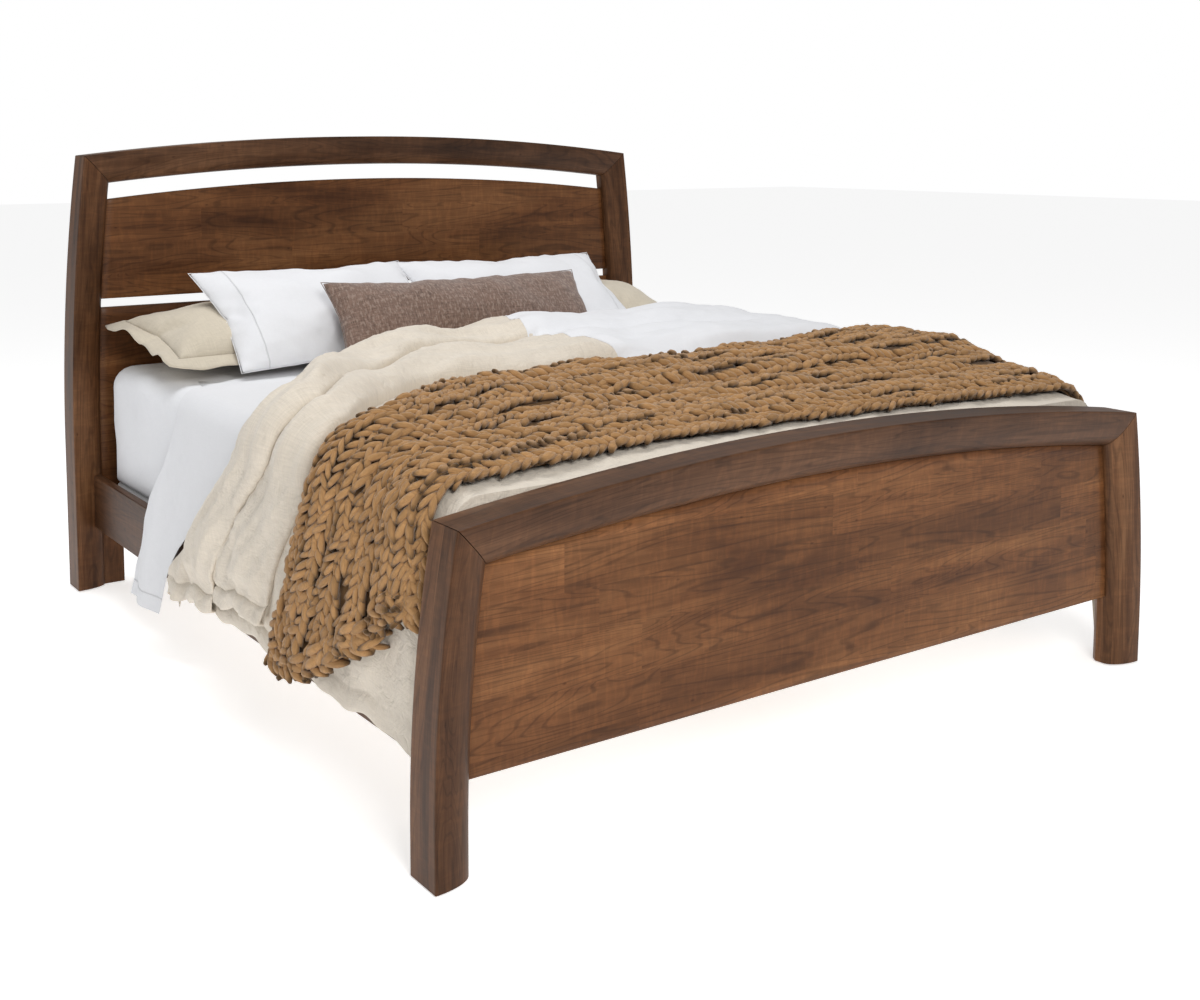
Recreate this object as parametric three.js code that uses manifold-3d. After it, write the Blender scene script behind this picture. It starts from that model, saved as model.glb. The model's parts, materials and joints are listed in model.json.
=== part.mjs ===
// A king-size panel bed with bowed posts and arched rails, dressed with its bedding.
// Millimetres. +Z up, X across the bed, the foot end towards -Y, the head end towards +Y.
import * as THREE from 'three';
import Module from 'manifold-3d';

const wasm = await Module();
wasm.setup();

// ---- driving dimensions -------------------------------------------------------------------
const GAP = 0.3; // air between two pieces that touch
const WIDTH = 2130; // over the posts at the floor
const LENGTH = 2245; // foot posts' front to head posts' back
const HALF = WIDTH / 2;
const FOOT_Y = -LENGTH / 2; // the foot posts' front face
const POST_DEPTH = 95; // flat outer side of a post, front to back
const HEAD_Y = LENGTH / 2 - POST_DEPTH; // the head posts' front face

const MOULD_WIDTH = 92; // post and top-rail moulding, outer edge to inner edge
const MOULD_SET_BACK = 42; // how far the moulding's front curves back to its inner edge
const MOULD_INNER_BACK = 65; // depth of the inner edge's back corner
const MOULD_BACK_FLAT = 45; // flat part of the back, from the outer edge

const HEAD = { height: 1320, rise: 60, inset: 58, bowFrom: 450 };
const FOOT = { height: 670, rise: 68, inset: 52, bowFrom: 100 };

const PANEL_THICK = 22;
const HEAD_SLOT = 49; // open gap under the head's top rail
const UPPER_PANEL_BOTTOM = 886;
const LOWER_PANEL_TOP = 859;
const LOWER_PANEL_BOTTOM = 190;
const FOOT_PANEL_BOTTOM = 182;

const RAIL_OUTER = 1006.4; // side rails' outer face, from the middle
const RAIL_THICK = 26;
const RAIL_BOTTOM = 190;
const RAIL_TOP = 350;
const HOOK_PLATE = 2.5;

const SLAT = { count: 8, wide: 80, thick: 18, z: 236.3 };
const BEAM = { wide: 60, bottom: 188, top: 236 };
const LEG_Y = [-620, 0, 620];
const GLIDE_THICK = 3;

const MATTRESS = { w: 1924, d: 2030, y: 5 };
const FOUNDATION = { bottom: 254.6, top: 382 };
const MATTRESS_TOP = 690;

const wood = { roughness: 0.45, metalness: 0 };
const cloth = { roughness: 0.95, metalness: 0 };
const MATERIALS = {
  dark_stain: { color: 0x46332a, ...wood },
  panel_stain: { color: 0x6a4630, ...wood },
  plain_wood: { color: 0xb08d5e, ...wood },
  steel: { color: 0x8b8d90, roughness: 0.4, metalness: 0.9 },
  plastic: { color: 0x1c1c1c, roughness: 0.6, metalness: 0 },
  ticking: { color: 0xd9d6cf, ...cloth },
  white_cotton: { color: 0xeeeef0, ...cloth },
  oat_linen: { color: 0xe0d7c4, ...cloth },
  beige_linen: { color: 0xd2c8b2, ...cloth },
  brown_tweed: { color: 0x7a6458, ...cloth },
  caramel_knit: { color: 0xa87f52, ...cloth },
};

const group = new THREE.Group();

// ---- helpers ------------------------------------------------------------------------------
function addPiece(name, geometry, material) {
  const mesh = new THREE.Mesh(geometry, new THREE.MeshStandardMaterial(MATERIALS[material]));
  mesh.name = name;
  group.add(mesh);
}

function signedVolume(points, faces) {
  let sum = 0;
  const [a, b, c] = [new THREE.Vector3(), new THREE.Vector3(), new THREE.Vector3()];
  for (const [i, j, k] of faces) {
    a.fromArray(points[i]);
    b.fromArray(points[j]);
    c.fromArray(points[k]);
    sum += a.dot(b.cross(c));
  }
  return sum / 6;
}

function closedGeometry(points, faces) {
  const outward = signedVolume(points, faces) > 0;
  const order = faces.flatMap(([i, j, k]) => (outward ? [i, j, k] : [i, k, j]));
  const geometry = new THREE.BufferGeometry();
  geometry.setAttribute('position', new THREE.Float32BufferAttribute(points.flat(), 3));
  geometry.setIndex(order);
  return geometry;
}

// Joins rings of equal length into one tube and closes both ends. outline is the ring in 2-D.
function loft(rings, outline) {
  const count = rings[0].length;
  const points = rings.flat();
  const faces = [];
  for (let r = 0; r + 1 < rings.length; r += 1) {
    for (let i = 0; i < count; i += 1) {
      const j = (i + 1) % count;
      const low = r * count;
      const high = low + count;
      faces.push([low + i, low + j, high + j]);
      faces.push([low + i, high + j, high + i]);
    }
  }
  const ccw = !THREE.ShapeUtils.isClockWise(outline);
  const flat = outline.map(([x, y]) => new THREE.Vector2(x, y));
  const caps = THREE.ShapeUtils.triangulateShape(flat, []);
  const last = (rings.length - 1) * count;
  for (const [i, j, k] of caps) {
    faces.push([i, k, j]);
    faces.push([last + i, last + j, last + k]);
  }
  return { points, faces, ccw };
}

// A loft whose walls and caps agree on which way is out.
function loftGeometry(rings, outline) {
  const clean = outline.map(([x, y]) => new THREE.Vector2(x, y));
  const turned = THREE.ShapeUtils.isClockWise(clean);
  const useRings = turned ? rings.map((ring) => [...ring].reverse()) : rings;
  const useOutline = turned ? [...outline].reverse() : outline;
  const { points, faces } = loft(useRings, useOutline);
  return closedGeometry(points, faces);
}

// Extrudes an XZ outline from y0 to y1.
function slabXZ(outline, y0, y1) {
  const rings = [y0, y1].map((y) => outline.map(([x, z]) => [x, y, z]));
  return loftGeometry(rings, outline);
}

// Extrudes a YZ outline from x0 to x1.
function slabYZ(outline, x0, x1) {
  const rings = [x0, x1].map((x) => outline.map(([y, z]) => [x, y, z]));
  return loftGeometry(rings, outline);
}

function box(x0, x1, y0, y1, z0, z1) {
  return slabXZ([[x0, z0], [x1, z0], [x1, z1], [x0, z1]], y0, y1);
}

// A board with its four long edges eased, running along X.
function boardX(x0, x1, y0, y1, z0, z1, ease) {
  const outline = [
    [y0 + ease, z0], [y1 - ease, z0], [y1, z0 + ease], [y1, z1 - ease],
    [y1 - ease, z1], [y0 + ease, z1], [y0, z1 - ease], [y0, z0 + ease],
  ];
  return slabYZ(outline, x0, x1);
}

// The same along Y.
function boardY(x0, x1, y0, y1, z0, z1, ease) {
  const outline = [
    [x0 + ease, z0], [x1 - ease, z0], [x1, z0 + ease], [x1, z1 - ease],
    [x1 - ease, z1], [x0 + ease, z1], [x0, z1 - ease], [x0, z0 + ease],
  ];
  return slabXZ(outline, y0, y1);
}

function disc(x, y, z0, z1, radius, sides = 24) {
  const ring = (z) => Array.from({ length: sides }, (_, i) => {
    const a = (i / sides) * Math.PI * 2;
    return [x + radius * Math.cos(a), y + radius * Math.sin(a), z];
  });
  return loftGeometry([ring(z0), ring(z1)], ring(0).map(([px, py]) => [px, py]));
}

function toManifold(geometry) {
  const mesh = new wasm.Mesh({
    numProp: 3,
    vertProperties: Float32Array.from(geometry.attributes.position.array),
    triVerts: Uint32Array.from(geometry.index.array),
  });
  return new wasm.Manifold(mesh);
}

function fromManifold(solid) {
  const mesh = solid.getMesh();
  const geometry = new THREE.BufferGeometry();
  geometry.setAttribute('position', new THREE.Float32BufferAttribute(mesh.vertProperties, 3));
  geometry.setIndex(Array.from(mesh.triVerts));
  return geometry;
}

function cut(geometry, tools) {
  let solid = toManifold(geometry);
  for (const tool of tools) solid = solid.subtract(toManifold(tool));
  return fromManifold(solid);
}

function join(...parts) {
  let solid = toManifold(parts[0]);
  for (const part of parts.slice(1)) solid = solid.add(toManifold(part));
  return fromManifold(solid);
}

// ---- the moulding shared by the posts and the top rails -------------------------------------
// Each point is [distance from the outer edge, depth behind the front].
function mouldProfile() {
  const points = [[0, POST_DEPTH], [0, 0]];
  const frontSteps = 9;
  for (let i = 1; i <= frontSteps; i += 1) {
    const a = (i / frontSteps) * (Math.PI / 2);
    points.push([MOULD_WIDTH * Math.sin(a), MOULD_SET_BACK * (1 - Math.cos(a))]);
  }
  const backSteps = 4;
  const backRun = MOULD_WIDTH - MOULD_BACK_FLAT;
  for (let i = 0; i < backSteps; i += 1) {
    const t = 1 - i / backSteps;
    points.push([MOULD_BACK_FLAT + backRun * t, backDepth(MOULD_BACK_FLAT + backRun * t)]);
  }
  points.push([MOULD_BACK_FLAT, POST_DEPTH]);
  return points;
}

function backDepth(s) {
  const t = Math.max(0, (s - MOULD_BACK_FLAT) / (MOULD_WIDTH - MOULD_BACK_FLAT));
  return POST_DEPTH - (POST_DEPTH - MOULD_INNER_BACK) * t * t;
}

// How far a post leans in from its foot at height z.
function bow(end, z) {
  const t = Math.max(0, (z - end.bowFrom) / (end.height - end.bowFrom));
  return end.inset * t * t;
}

// The height of the top rail's outer face at x.
function archTop(end, x) {
  const corner = HALF - end.inset;
  return end.height + end.rise * (1 - (x / corner) ** 2);
}

// Where the moulding line s of a post meets the same line of its top rail: the mitre.
function mitre(end, s) {
  let z = end.height - s;
  let x = 0;
  for (let i = 0; i < 40; i += 1) {
    x = HALF - bow(end, z) - s;
    z = archTop(end, x) - s;
  }
  return { x, z };
}

const PROFILE = mouldProfile();

function postSolid(end, y, side) {
  const steps = 14;
  const rings = [];
  for (let k = 0; k <= steps; k += 1) {
    rings.push(PROFILE.map(([s, d]) => {
      const top = mitre(end, s).z - GAP / 2;
      const z = GLIDE_THICK + GAP + (top - GLIDE_THICK - GAP) * (k / steps);
      return [side * (HALF - bow(end, z) - s), y + d, z];
    }));
  }
  return loftGeometry(rings, PROFILE);
}

function topRailSolid(end, y) {
  const steps = 28;
  const rings = [];
  for (let k = 0; k <= steps; k += 1) {
    const u = (2 * k) / steps - 1;
    rings.push(PROFILE.map(([s, d]) => {
      const x = u * (mitre(end, s).x - GAP / 2);
      return [x, y + d, archTop(end, x) - s];
    }));
  }
  return loftGeometry(rings, PROFILE);
}

// The inner edge of a post at height z.
function innerEdge(end, z) {
  return HALF - bow(end, z) - MOULD_WIDTH;
}

// A board that fills the frame between the posts from bottom up to top(x).
function panelOutline(end, bottom, top) {
  const fit = GAP + 0.2;
  let cornerX = innerEdge(end, bottom) - fit;
  for (let i = 0; i < 30; i += 1) cornerX = innerEdge(end, top(cornerX)) - fit;
  const right = [];
  const sideSteps = 6;
  for (let i = 0; i <= sideSteps; i += 1) {
    const z = bottom + ((top(cornerX) - bottom) * i) / sideSteps;
    right.push([innerEdge(end, z) - fit, z]);
  }
  const arch = [];
  const archSteps = 24;
  for (let i = 1; i < archSteps; i += 1) {
    const x = cornerX * (1 - (2 * i) / archSteps);
    arch.push([x, top(x)]);
  }
  const left = right.map(([x, z]) => [-x, z]).reverse();
  return [...right, ...arch, ...left];
}

// Tongues on a panel's sides, let into the posts: [bottom, top] heights.
const TONGUE = { front: 49, back: 57, clear: 0.4 };
const TONGUES = {
  head_upper: { out: 972, spans: [[935, 1110]] },
  head_lower: { out: 990, spans: [[480, 560], [640, 800]] },
  foot: { out: 988, spans: [[250, 330], [400, 500]] },
};

function tongueBoxes(key, y, side, clear) {
  const { out, spans } = TONGUES[key];
  return spans.map(([low, high]) => {
    const inner = 920;
    const reach = out + clear;
    const x0 = side > 0 ? inner : -reach;
    const x1 = side > 0 ? reach : -inner;
    const front = y + TONGUE.front - clear;
    const back = y + TONGUE.back + clear;
    return box(x0, x1, front, back, low - clear, high + clear);
  });
}

function panelSolid(end, y, bottom, top, key) {
  const front = y + MOULD_SET_BACK;
  const board = slabXZ(panelOutline(end, bottom, top), front, front + PANEL_THICK);
  return join(board, ...tongueBoxes(key, y, 1, 0), ...tongueBoxes(key, y, -1, 0));
}

// ---- loose splines that hold the mitres -----------------------------------------------------
const SPLINE = { half: 21, front: 46, back: 52, clear: 0.4 };

function splineBox(end, y, side, clear) {
  const m = mitre(end, MOULD_WIDTH / 2);
  const r = SPLINE.half + clear;
  const x = side * m.x;
  const [front, back] = [y + SPLINE.front - clear, y + SPLINE.back + clear];
  return box(x - r, x + r, front, back, m.z - r, m.z + r);
}

// ---- where the side rails are let into the posts ----------------------------------------------
const HEAD_LAND = HEAD_Y + 27; // depth of the notch in a head post
const FOOT_LAND = FOOT_Y + 72; // depth of the notch in a foot post's back
const HOOKS = [[222, 252], [288, 318]]; // heights of the two hooks of a plate
const HOOK_REACH = 9;
const HOOK_WIDE = 5;

function railMiddle(side) {
  return side * (RAIL_OUTER - RAIL_THICK / 2);
}

function notchTools(side, atHead) {
  const c = railMiddle(side);
  const half = RAIL_THICK / 2 + 0.6;
  const land = atHead ? HEAD_LAND : FOOT_LAND;
  const out = atHead ? -1 : 1;
  const [y0, y1] = [land, land + out * 60].sort((a, b) => a - b);
  const tools = [box(c - half, c + half, y0, y1, RAIL_BOTTOM - 0.6, RAIL_TOP + 0.6)];
  for (const [low, high] of HOOKS) {
    const [h0, h1] = [land + out, land - out * (HOOK_REACH + 4)].sort((a, b) => a - b);
    tools.push(box(c - HOOK_WIDE, c + HOOK_WIDE, h0, h1, low - 14, high + 4));
  }
  return tools;
}

function catchPlate(side, atHead) {
  const c = railMiddle(side);
  const half = RAIL_THICK / 2 - 2;
  const out = atHead ? -1 : 1;
  const base = (atHead ? HEAD_LAND : FOOT_LAND) + out * GAP;
  const [y0, y1] = [base, base + out * HOOK_PLATE].sort((a, b) => a - b);
  const plate = box(c - half, c + half, y0, y1, 200, 340);
  const slots = HOOKS.map(([low, high]) => box(c - 3.2, c + 3.2, y0 - 1, y1 + 1, low - 1, high + 1));
  return cut(plate, slots);
}

// A hook goes through its slot, then turns down behind the catch plate.
function hookPlate(side, atHead) {
  const c = railMiddle(side);
  const half = RAIL_THICK / 2 - 2;
  const out = atHead ? -1 : 1;
  const base = (atHead ? HEAD_LAND : FOOT_LAND) + out * (2 * GAP + HOOK_PLATE);
  const [y0, y1] = [base, base + out * HOOK_PLATE].sort((a, b) => a - b);
  const plate = box(c - half, c + half, y0, y1, 200, 340);
  const hooks = HOOKS.map(([low, high]) => {
    const root = base + out * 0.5;
    const behind = (atHead ? HEAD_LAND : FOOT_LAND) - out * 1.2;
    const tip = behind - out * (HOOK_REACH - 3);
    const outline = [
      [root, high], [tip, high], [tip, low - 8], [behind, low - 8], [behind, low + 1], [root, low + 1],
    ];
    return slabYZ(outline, c - 2, c + 2);
  });
  return join(plate, ...hooks);
}

const RAIL_FOOT_END = FOOT_LAND + 3 * GAP + 2 * HOOK_PLATE;
const RAIL_HEAD_END = HEAD_LAND - 3 * GAP - 2 * HOOK_PLATE;

// ---- floor glides -----------------------------------------------------------------------------
const GLIDE = { radius: 15, pin: 3, depth: 18, s: 46, d: 50 };

function glideSolid(x, y) {
  return join(disc(x, y, 0, GLIDE_THICK, GLIDE.radius), disc(x, y, 1, GLIDE.depth, GLIDE.pin, 12));
}

function addPosts() {
  const ends = [
    { name: 'head', end: HEAD, y: HEAD_Y, atHead: true, panels: ['head_upper', 'head_lower'] },
    { name: 'foot', end: FOOT, y: FOOT_Y, atHead: false, panels: ['foot'] },
  ];
  for (const { name, end, y, atHead, panels } of ends) {
    for (const [word, side] of [['left', -1], ['right', 1]]) {
      const gx = side * (HALF - GLIDE.s);
      const gy = y + GLIDE.d;
      const tools = [
        ...notchTools(side, atHead),
        ...panels.flatMap((key) => tongueBoxes(key, y, side, TONGUE.clear)),
        splineBox(end, y, side, SPLINE.clear),
        disc(gx, gy, -5, GLIDE.depth + 2, GLIDE.pin + 0.4, 12),
      ];
      addPiece(`${name}_post_${word}`, cut(postSolid(end, y, side), tools), 'dark_stain');
      addPiece(`${name}_post_${word}_glide`, glideSolid(gx, gy), 'plastic');
      addPiece(`${name}_mitre_spline_${word}`, splineBox(end, y, side, 0), 'plain_wood');
      addPiece(`${name}_catch_plate_${word}`, catchPlate(side, atHead), 'steel');
      addPiece(`${name}_hook_plate_${word}`, hookPlate(side, atHead), 'steel');
    }
    const splines = [-1, 1].map((side) => splineBox(end, y, side, SPLINE.clear));
    addPiece(`${name}_top_rail`, cut(topRailSolid(end, y), splines), 'dark_stain');
  }
}

function addPanels() {
  const upperTop = (x) => archTop(HEAD, x) - MOULD_WIDTH - HEAD_SLOT;
  const upper = panelSolid(HEAD, HEAD_Y, UPPER_PANEL_BOTTOM, upperTop, 'head_upper');
  addPiece('head_upper_panel', upper, 'panel_stain');
  const lowerTop = () => LOWER_PANEL_TOP;
  const lower = panelSolid(HEAD, HEAD_Y, LOWER_PANEL_BOTTOM, lowerTop, 'head_lower');
  addPiece('head_lower_panel', lower, 'panel_stain');
  const footTop = (x) => archTop(FOOT, x) - MOULD_WIDTH - GAP - 0.2;
  const foot = panelSolid(FOOT, FOOT_Y, FOOT_PANEL_BOTTOM, footTop, 'foot');
  addPiece('foot_panel', foot, 'panel_stain');
}

// The inner leg carries the lower head panel: full depth below it, thinner behind it.
function addInnerLegs() {
  const front = HEAD_Y + MOULD_SET_BACK;
  const step = front + PANEL_THICK + GAP;
  const back = HEAD_Y + 92;
  const split = LOWER_PANEL_BOTTOM - GAP;
  const outline = [
    [front, GAP], [back, GAP], [back, HEAD.bowFrom], [step, HEAD.bowFrom], [step, split], [front, split],
  ];
  const outer = HALF - MOULD_WIDTH - GAP;
  addPiece('head_inner_leg_left', slabYZ(outline, -outer, -outer + 62), 'dark_stain');
  addPiece('head_inner_leg_right', slabYZ(outline, outer - 62, outer), 'dark_stain');
}

function addSideRails() {
  const inner = RAIL_OUTER - RAIL_THICK;
  const [y0, y1] = [RAIL_FOOT_END, RAIL_HEAD_END];
  for (const [word, side] of [['left', -1], ['right', 1]]) {
    const [x0, x1] = [side * inner, side * RAIL_OUTER].sort((a, b) => a - b);
    addPiece(`side_rail_${word}`, boardY(x0, x1, y0, y1, RAIL_BOTTOM, RAIL_TOP, 2), 'dark_stain');
    const [c0, c1] = [side * (inner - GAP), side * (inner - 26)].sort((a, b) => a - b);
    const cleat = boardY(c0, c1, y0 + 60, y1 - 60, SLAT.z - 40, SLAT.z - GAP, 1.5);
    addPiece(`slat_cleat_${word}`, cleat, 'plain_wood');
  }
}

function addSlats() {
  const reach = RAIL_OUTER - RAIL_THICK - 2;
  const first = FOOT_Y + 200;
  const last = HEAD_Y - 60;
  for (let i = 0; i < SLAT.count; i += 1) {
    const y = first + ((last - first) * i) / (SLAT.count - 1);
    const [y0, y1] = [y - SLAT.wide / 2, y + SLAT.wide / 2];
    const slat = boardX(-reach, reach, y0, y1, SLAT.z, SLAT.z + SLAT.thick, 2);
    addPiece(`slat_${i + 1}`, slat, 'plain_wood');
  }
}

// A steel stirrup on the panel holds each end of the middle beam.
function beamHanger(face, out) {
  const inner = BEAM.wide / 2 + 0.5;
  const outer = inner + 3;
  const floor = BEAM.bottom - GAP;
  const cup = [
    [-outer, floor - 3], [outer, floor - 3], [outer, 226], [inner, 226],
    [inner, floor], [-inner, floor], [-inner, 226], [-outer, 226],
  ];
  const near = face + out * GAP;
  const [c0, c1] = [near, near + out * 40].sort((a, b) => a - b);
  const [p0, p1] = [near, near + out * 3].sort((a, b) => a - b);
  return join(slabXZ(cup, c0, c1), box(-70, 70, p0, p1, 194, 226));
}

function addMiddleBeam() {
  const footFace = FOOT_Y + MOULD_SET_BACK + PANEL_THICK;
  const headFace = HEAD_Y + MOULD_SET_BACK;
  addPiece('beam_hanger_foot', beamHanger(footFace, 1), 'steel');
  addPiece('beam_hanger_head', beamHanger(headFace, -1), 'steel');
  const half = BEAM.wide / 2;
  const [y0, y1] = [footFace + 4, headFace - 4];
  addPiece('middle_beam', boardY(-half, half, y0, y1, BEAM.bottom, BEAM.top, 2), 'plain_wood');
}

// Each middle leg stands on a foot whose stud winds up into it.
function addMiddleLegs() {
  LEG_Y.forEach((y, i) => {
    const leg = box(-25, 25, y - 25, y + 25, 20, BEAM.bottom - GAP);
    addPiece(`middle_leg_${i + 1}`, cut(leg, [disc(0, y, 10, 75, 5.5)]), 'plain_wood');
    const foot = join(disc(0, y, 0, 8, 20), disc(0, y, 4, 55, 5));
    addPiece(`levelling_foot_${i + 1}`, foot, 'plastic');
  });
}

// ---- bedding ------------------------------------------------------------------------------------
// A block with all its edges rounded, standing on z0.
function softBlock(w, d, y, z0, z1, radius) {
  const corner = radius * 1.6;
  const outline = (shrink) => {
    const points = [];
    const [hx, hy] = [w / 2 - shrink, d / 2 - shrink];
    const r = corner;
    for (const [sx, sy, start] of [[1, 1, 0], [-1, 1, 90], [-1, -1, 180], [1, -1, 270]]) {
      for (let i = 0; i <= 4; i += 1) {
        const a = ((start + (90 * i) / 4) * Math.PI) / 180;
        points.push([sx * (hx - r) + r * Math.cos(a), y + sy * (hy - r) + r * Math.sin(a)]);
      }
    }
    return points;
  };
  const levels = [];
  for (let i = 0; i <= 4; i += 1) {
    const a = ((i / 4) * Math.PI) / 2;
    levels.push([radius * (1 - Math.sin(a)), z0 + radius * (1 - Math.cos(a))]);
  }
  for (let i = 4; i >= 0; i -= 1) {
    const a = ((i / 4) * Math.PI) / 2;
    levels.push([radius * (1 - Math.sin(a)), z1 - radius * (1 - Math.cos(a))]);
  }
  const rings = levels.map(([shrink, z]) => outline(shrink).map(([px, py]) => [px, py, z]));
  return loftGeometry(rings, outline(0));
}

// A cushion: two domed faces with a thin edge, reclined by tilt degrees about X.
function cushion({ w, h, thick, edge, tilt, x, y, z }) {
  const n = 14;
  const at = (i, j, up) => {
    const [u, v] = [(2 * i) / n - 1, (2 * j) / n - 1];
    const dome = ((1 - u ** 4) * (1 - v ** 4)) ** 0.6;
    const waist = 1 - 0.045 * (1 - u * u) * v * v;
    const side = 1 - 0.045 * (1 - v * v) * u * u;
    return [(w / 2) * u * side, (h / 2) * v * waist, up * (edge / 2 + (thick / 2 - edge / 2) * dome)];
  };
  const points = [];
  for (const up of [1, -1]) {
    for (let j = 0; j <= n; j += 1) {
      for (let i = 0; i <= n; i += 1) points.push(at(i, j, up));
    }
  }
  const id = (i, j, layer) => layer * (n + 1) * (n + 1) + j * (n + 1) + i;
  const faces = [];
  for (let j = 0; j < n; j += 1) {
    for (let i = 0; i < n; i += 1) {
      faces.push([id(i, j, 0), id(i + 1, j, 0), id(i + 1, j + 1, 0)]);
      faces.push([id(i, j, 0), id(i + 1, j + 1, 0), id(i, j + 1, 0)]);
      faces.push([id(i, j, 1), id(i + 1, j + 1, 1), id(i + 1, j, 1)]);
      faces.push([id(i, j, 1), id(i, j + 1, 1), id(i + 1, j + 1, 1)]);
    }
  }
  const rim = [];
  for (let i = 0; i < n; i += 1) rim.push([[i, 0], [i + 1, 0]]);
  for (let j = 0; j < n; j += 1) rim.push([[n, j], [n, j + 1]]);
  for (let i = n; i > 0; i -= 1) rim.push([[i, n], [i - 1, n]]);
  for (let j = n; j > 0; j -= 1) rim.push([[0, j], [0, j - 1]]);
  for (const [[a, b], [c, d]] of rim) {
    faces.push([id(a, b, 0), id(a, b, 1), id(c, d, 1)]);
    faces.push([id(a, b, 0), id(c, d, 1), id(c, d, 0)]);
  }
  const t = (tilt * Math.PI) / 180;
  const placed = points.map(([px, py, pz]) => [
    x + px,
    y + py * Math.cos(t) - pz * Math.sin(t),
    z + py * Math.sin(t) + pz * Math.cos(t),
  ]);
  return closedGeometry(placed, faces);
}

// A cover laid over the bed and hanging down both sides, as an XZ outline.
function coverOutline({ half, top, hem, thick, shoulder }) {
  const steps = 5;
  const arc = (grow) => {
    const points = [];
    for (let i = 0; i <= steps; i += 1) {
      const a = ((i / steps) * Math.PI) / 2;
      const r = shoulder + grow;
      points.push([half - shoulder + r * Math.cos(a), top - shoulder + r * Math.sin(a)]);
    }
    return points;
  };
  const outer = [[half + thick, hem], ...arc(thick)];
  const inner = [...arc(0).reverse(), [half, hem]];
  const mirror = (list) => list.map(([x, z]) => [-x, z]).reverse();
  return [...outer, ...mirror(outer), ...mirror(inner), ...inner];
}

const SHEET = { half: 1009, top: MATTRESS_TOP + 0.6, hem: 110, thick: 6, shoulder: 70 };
const DUVET = { half: 1016, top: 697.4, hem: 165, thick: 24, shoulder: 75 };
const THROW = { half: 1041, top: 722.2, hem: 190, thick: 23, shoulder: 90 };

function addBedding() {
  const { w, d, y } = MATTRESS;
  const base = softBlock(w, d, y, FOUNDATION.bottom, FOUNDATION.top, 14);
  addPiece('foundation', base, 'ticking');
  const mattress = softBlock(w, d, y, FOUNDATION.top + GAP, MATTRESS_TOP, 45);
  addPiece('mattress', mattress, 'white_cotton');
  for (const [word, side] of [['left', -1], ['right', 1]]) {
    addPiece(`flanged_pillow_${word}`, cushion({
      w: 880, h: 460, thick: 100, edge: 8, tilt: 12, x: side * 538, y: 788, z: 770,
    }), 'beige_linen');
    addPiece(`white_pillow_${word}`, cushion({
      w: 740, h: 500, thick: 130, edge: 8, tilt: 32, x: side * 430, y: 618, z: 857,
    }), 'white_cotton');
  }
  addPiece('lumbar_pillow', cushion({
    w: 920, h: 330, thick: 120, edge: 8, tilt: 44, x: 0, y: 428, z: 880,
  }), 'brown_tweed');
  addPiece('flat_sheet', slabXZ(coverOutline(SHEET), 100, 380), 'white_cotton');
  const duvet = slabXZ(coverOutline(DUVET), FOOT_Y + POST_DEPTH + 1, 300);
  const foldedBack = slabXZ(coverOutline({ ...DUVET, top: 720, hem: 300, thick: 20 }), -80, 300);
  addPiece('duvet', join(duvet, foldedBack), 'oat_linen');
  addPiece('knit_throw', slabXZ(coverOutline(THROW), FOOT_Y + 180, -260), 'caramel_knit');
}

addPosts();
addPanels();
addInnerLegs();
addSideRails();
addSlats();
addMiddleBeam();
addMiddleLegs();
addBedding();

export default group;
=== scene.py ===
"""A king-size panel bed with bowed posts and arched rails, dressed with its bedding. Metres."""
import json
import math
from collections import namedtuple

import bpy
import numpy as np
from mathutils import Matrix, Vector
from mathutils.bvhtree import BVHTree


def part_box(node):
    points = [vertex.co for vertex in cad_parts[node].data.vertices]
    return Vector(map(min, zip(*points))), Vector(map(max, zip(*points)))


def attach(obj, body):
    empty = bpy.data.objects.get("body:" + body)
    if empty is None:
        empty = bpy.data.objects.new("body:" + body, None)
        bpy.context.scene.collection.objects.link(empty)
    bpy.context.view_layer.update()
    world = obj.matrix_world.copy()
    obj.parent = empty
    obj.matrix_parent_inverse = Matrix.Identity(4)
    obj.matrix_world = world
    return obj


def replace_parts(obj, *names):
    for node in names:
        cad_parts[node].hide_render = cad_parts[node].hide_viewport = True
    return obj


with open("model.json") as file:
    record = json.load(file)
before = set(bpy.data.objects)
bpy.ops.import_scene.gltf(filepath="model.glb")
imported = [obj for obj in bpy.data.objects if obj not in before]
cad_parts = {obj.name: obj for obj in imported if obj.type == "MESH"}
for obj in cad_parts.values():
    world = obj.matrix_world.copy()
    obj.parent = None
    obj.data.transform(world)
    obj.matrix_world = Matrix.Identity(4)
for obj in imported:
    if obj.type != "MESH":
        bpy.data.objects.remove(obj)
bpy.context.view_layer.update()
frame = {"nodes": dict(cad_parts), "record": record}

# ---- sizes shared with the CAD model
LENGTH = 2.245
HALF = 2.130 / 2
POST_DEPTH = 0.095
FOOT_Y = -LENGTH / 2
HEAD_Y = LENGTH / 2 - POST_DEPTH

MOULD_WIDTH = 0.092
MOULD_SET_BACK = 0.042
MOULD_INNER_BACK = 0.065
MOULD_BACK_FLAT = 0.045

HEAD = {"height": 1.320, "rise": 0.060, "inset": 0.058, "bow_from": 0.450}
FOOT = {"height": 0.670, "rise": 0.068, "inset": 0.052, "bow_from": 0.100}

PANEL_THICK = 0.022
HEAD_SLOT = 0.049
UPPER_PANEL_BOTTOM = 0.886
LOWER_PANEL_TOP = 0.859
LOWER_PANEL_BOTTOM = 0.190
FOOT_PANEL_BOTTOM = 0.182
POST_BOTTOM = 0.0033
# The open line at each mitre, and the play round a panel.
MITRE_GAP = 0.0009
FIT = 0.0005

MATTRESS_HALF = 0.962
SHEET_REACH = 0.340
MATTRESS_TOP = 0.690
FOUNDATION_BOTTOM = 0.2546
MATTRESS_Y = (-1.010, 1.020)

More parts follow.
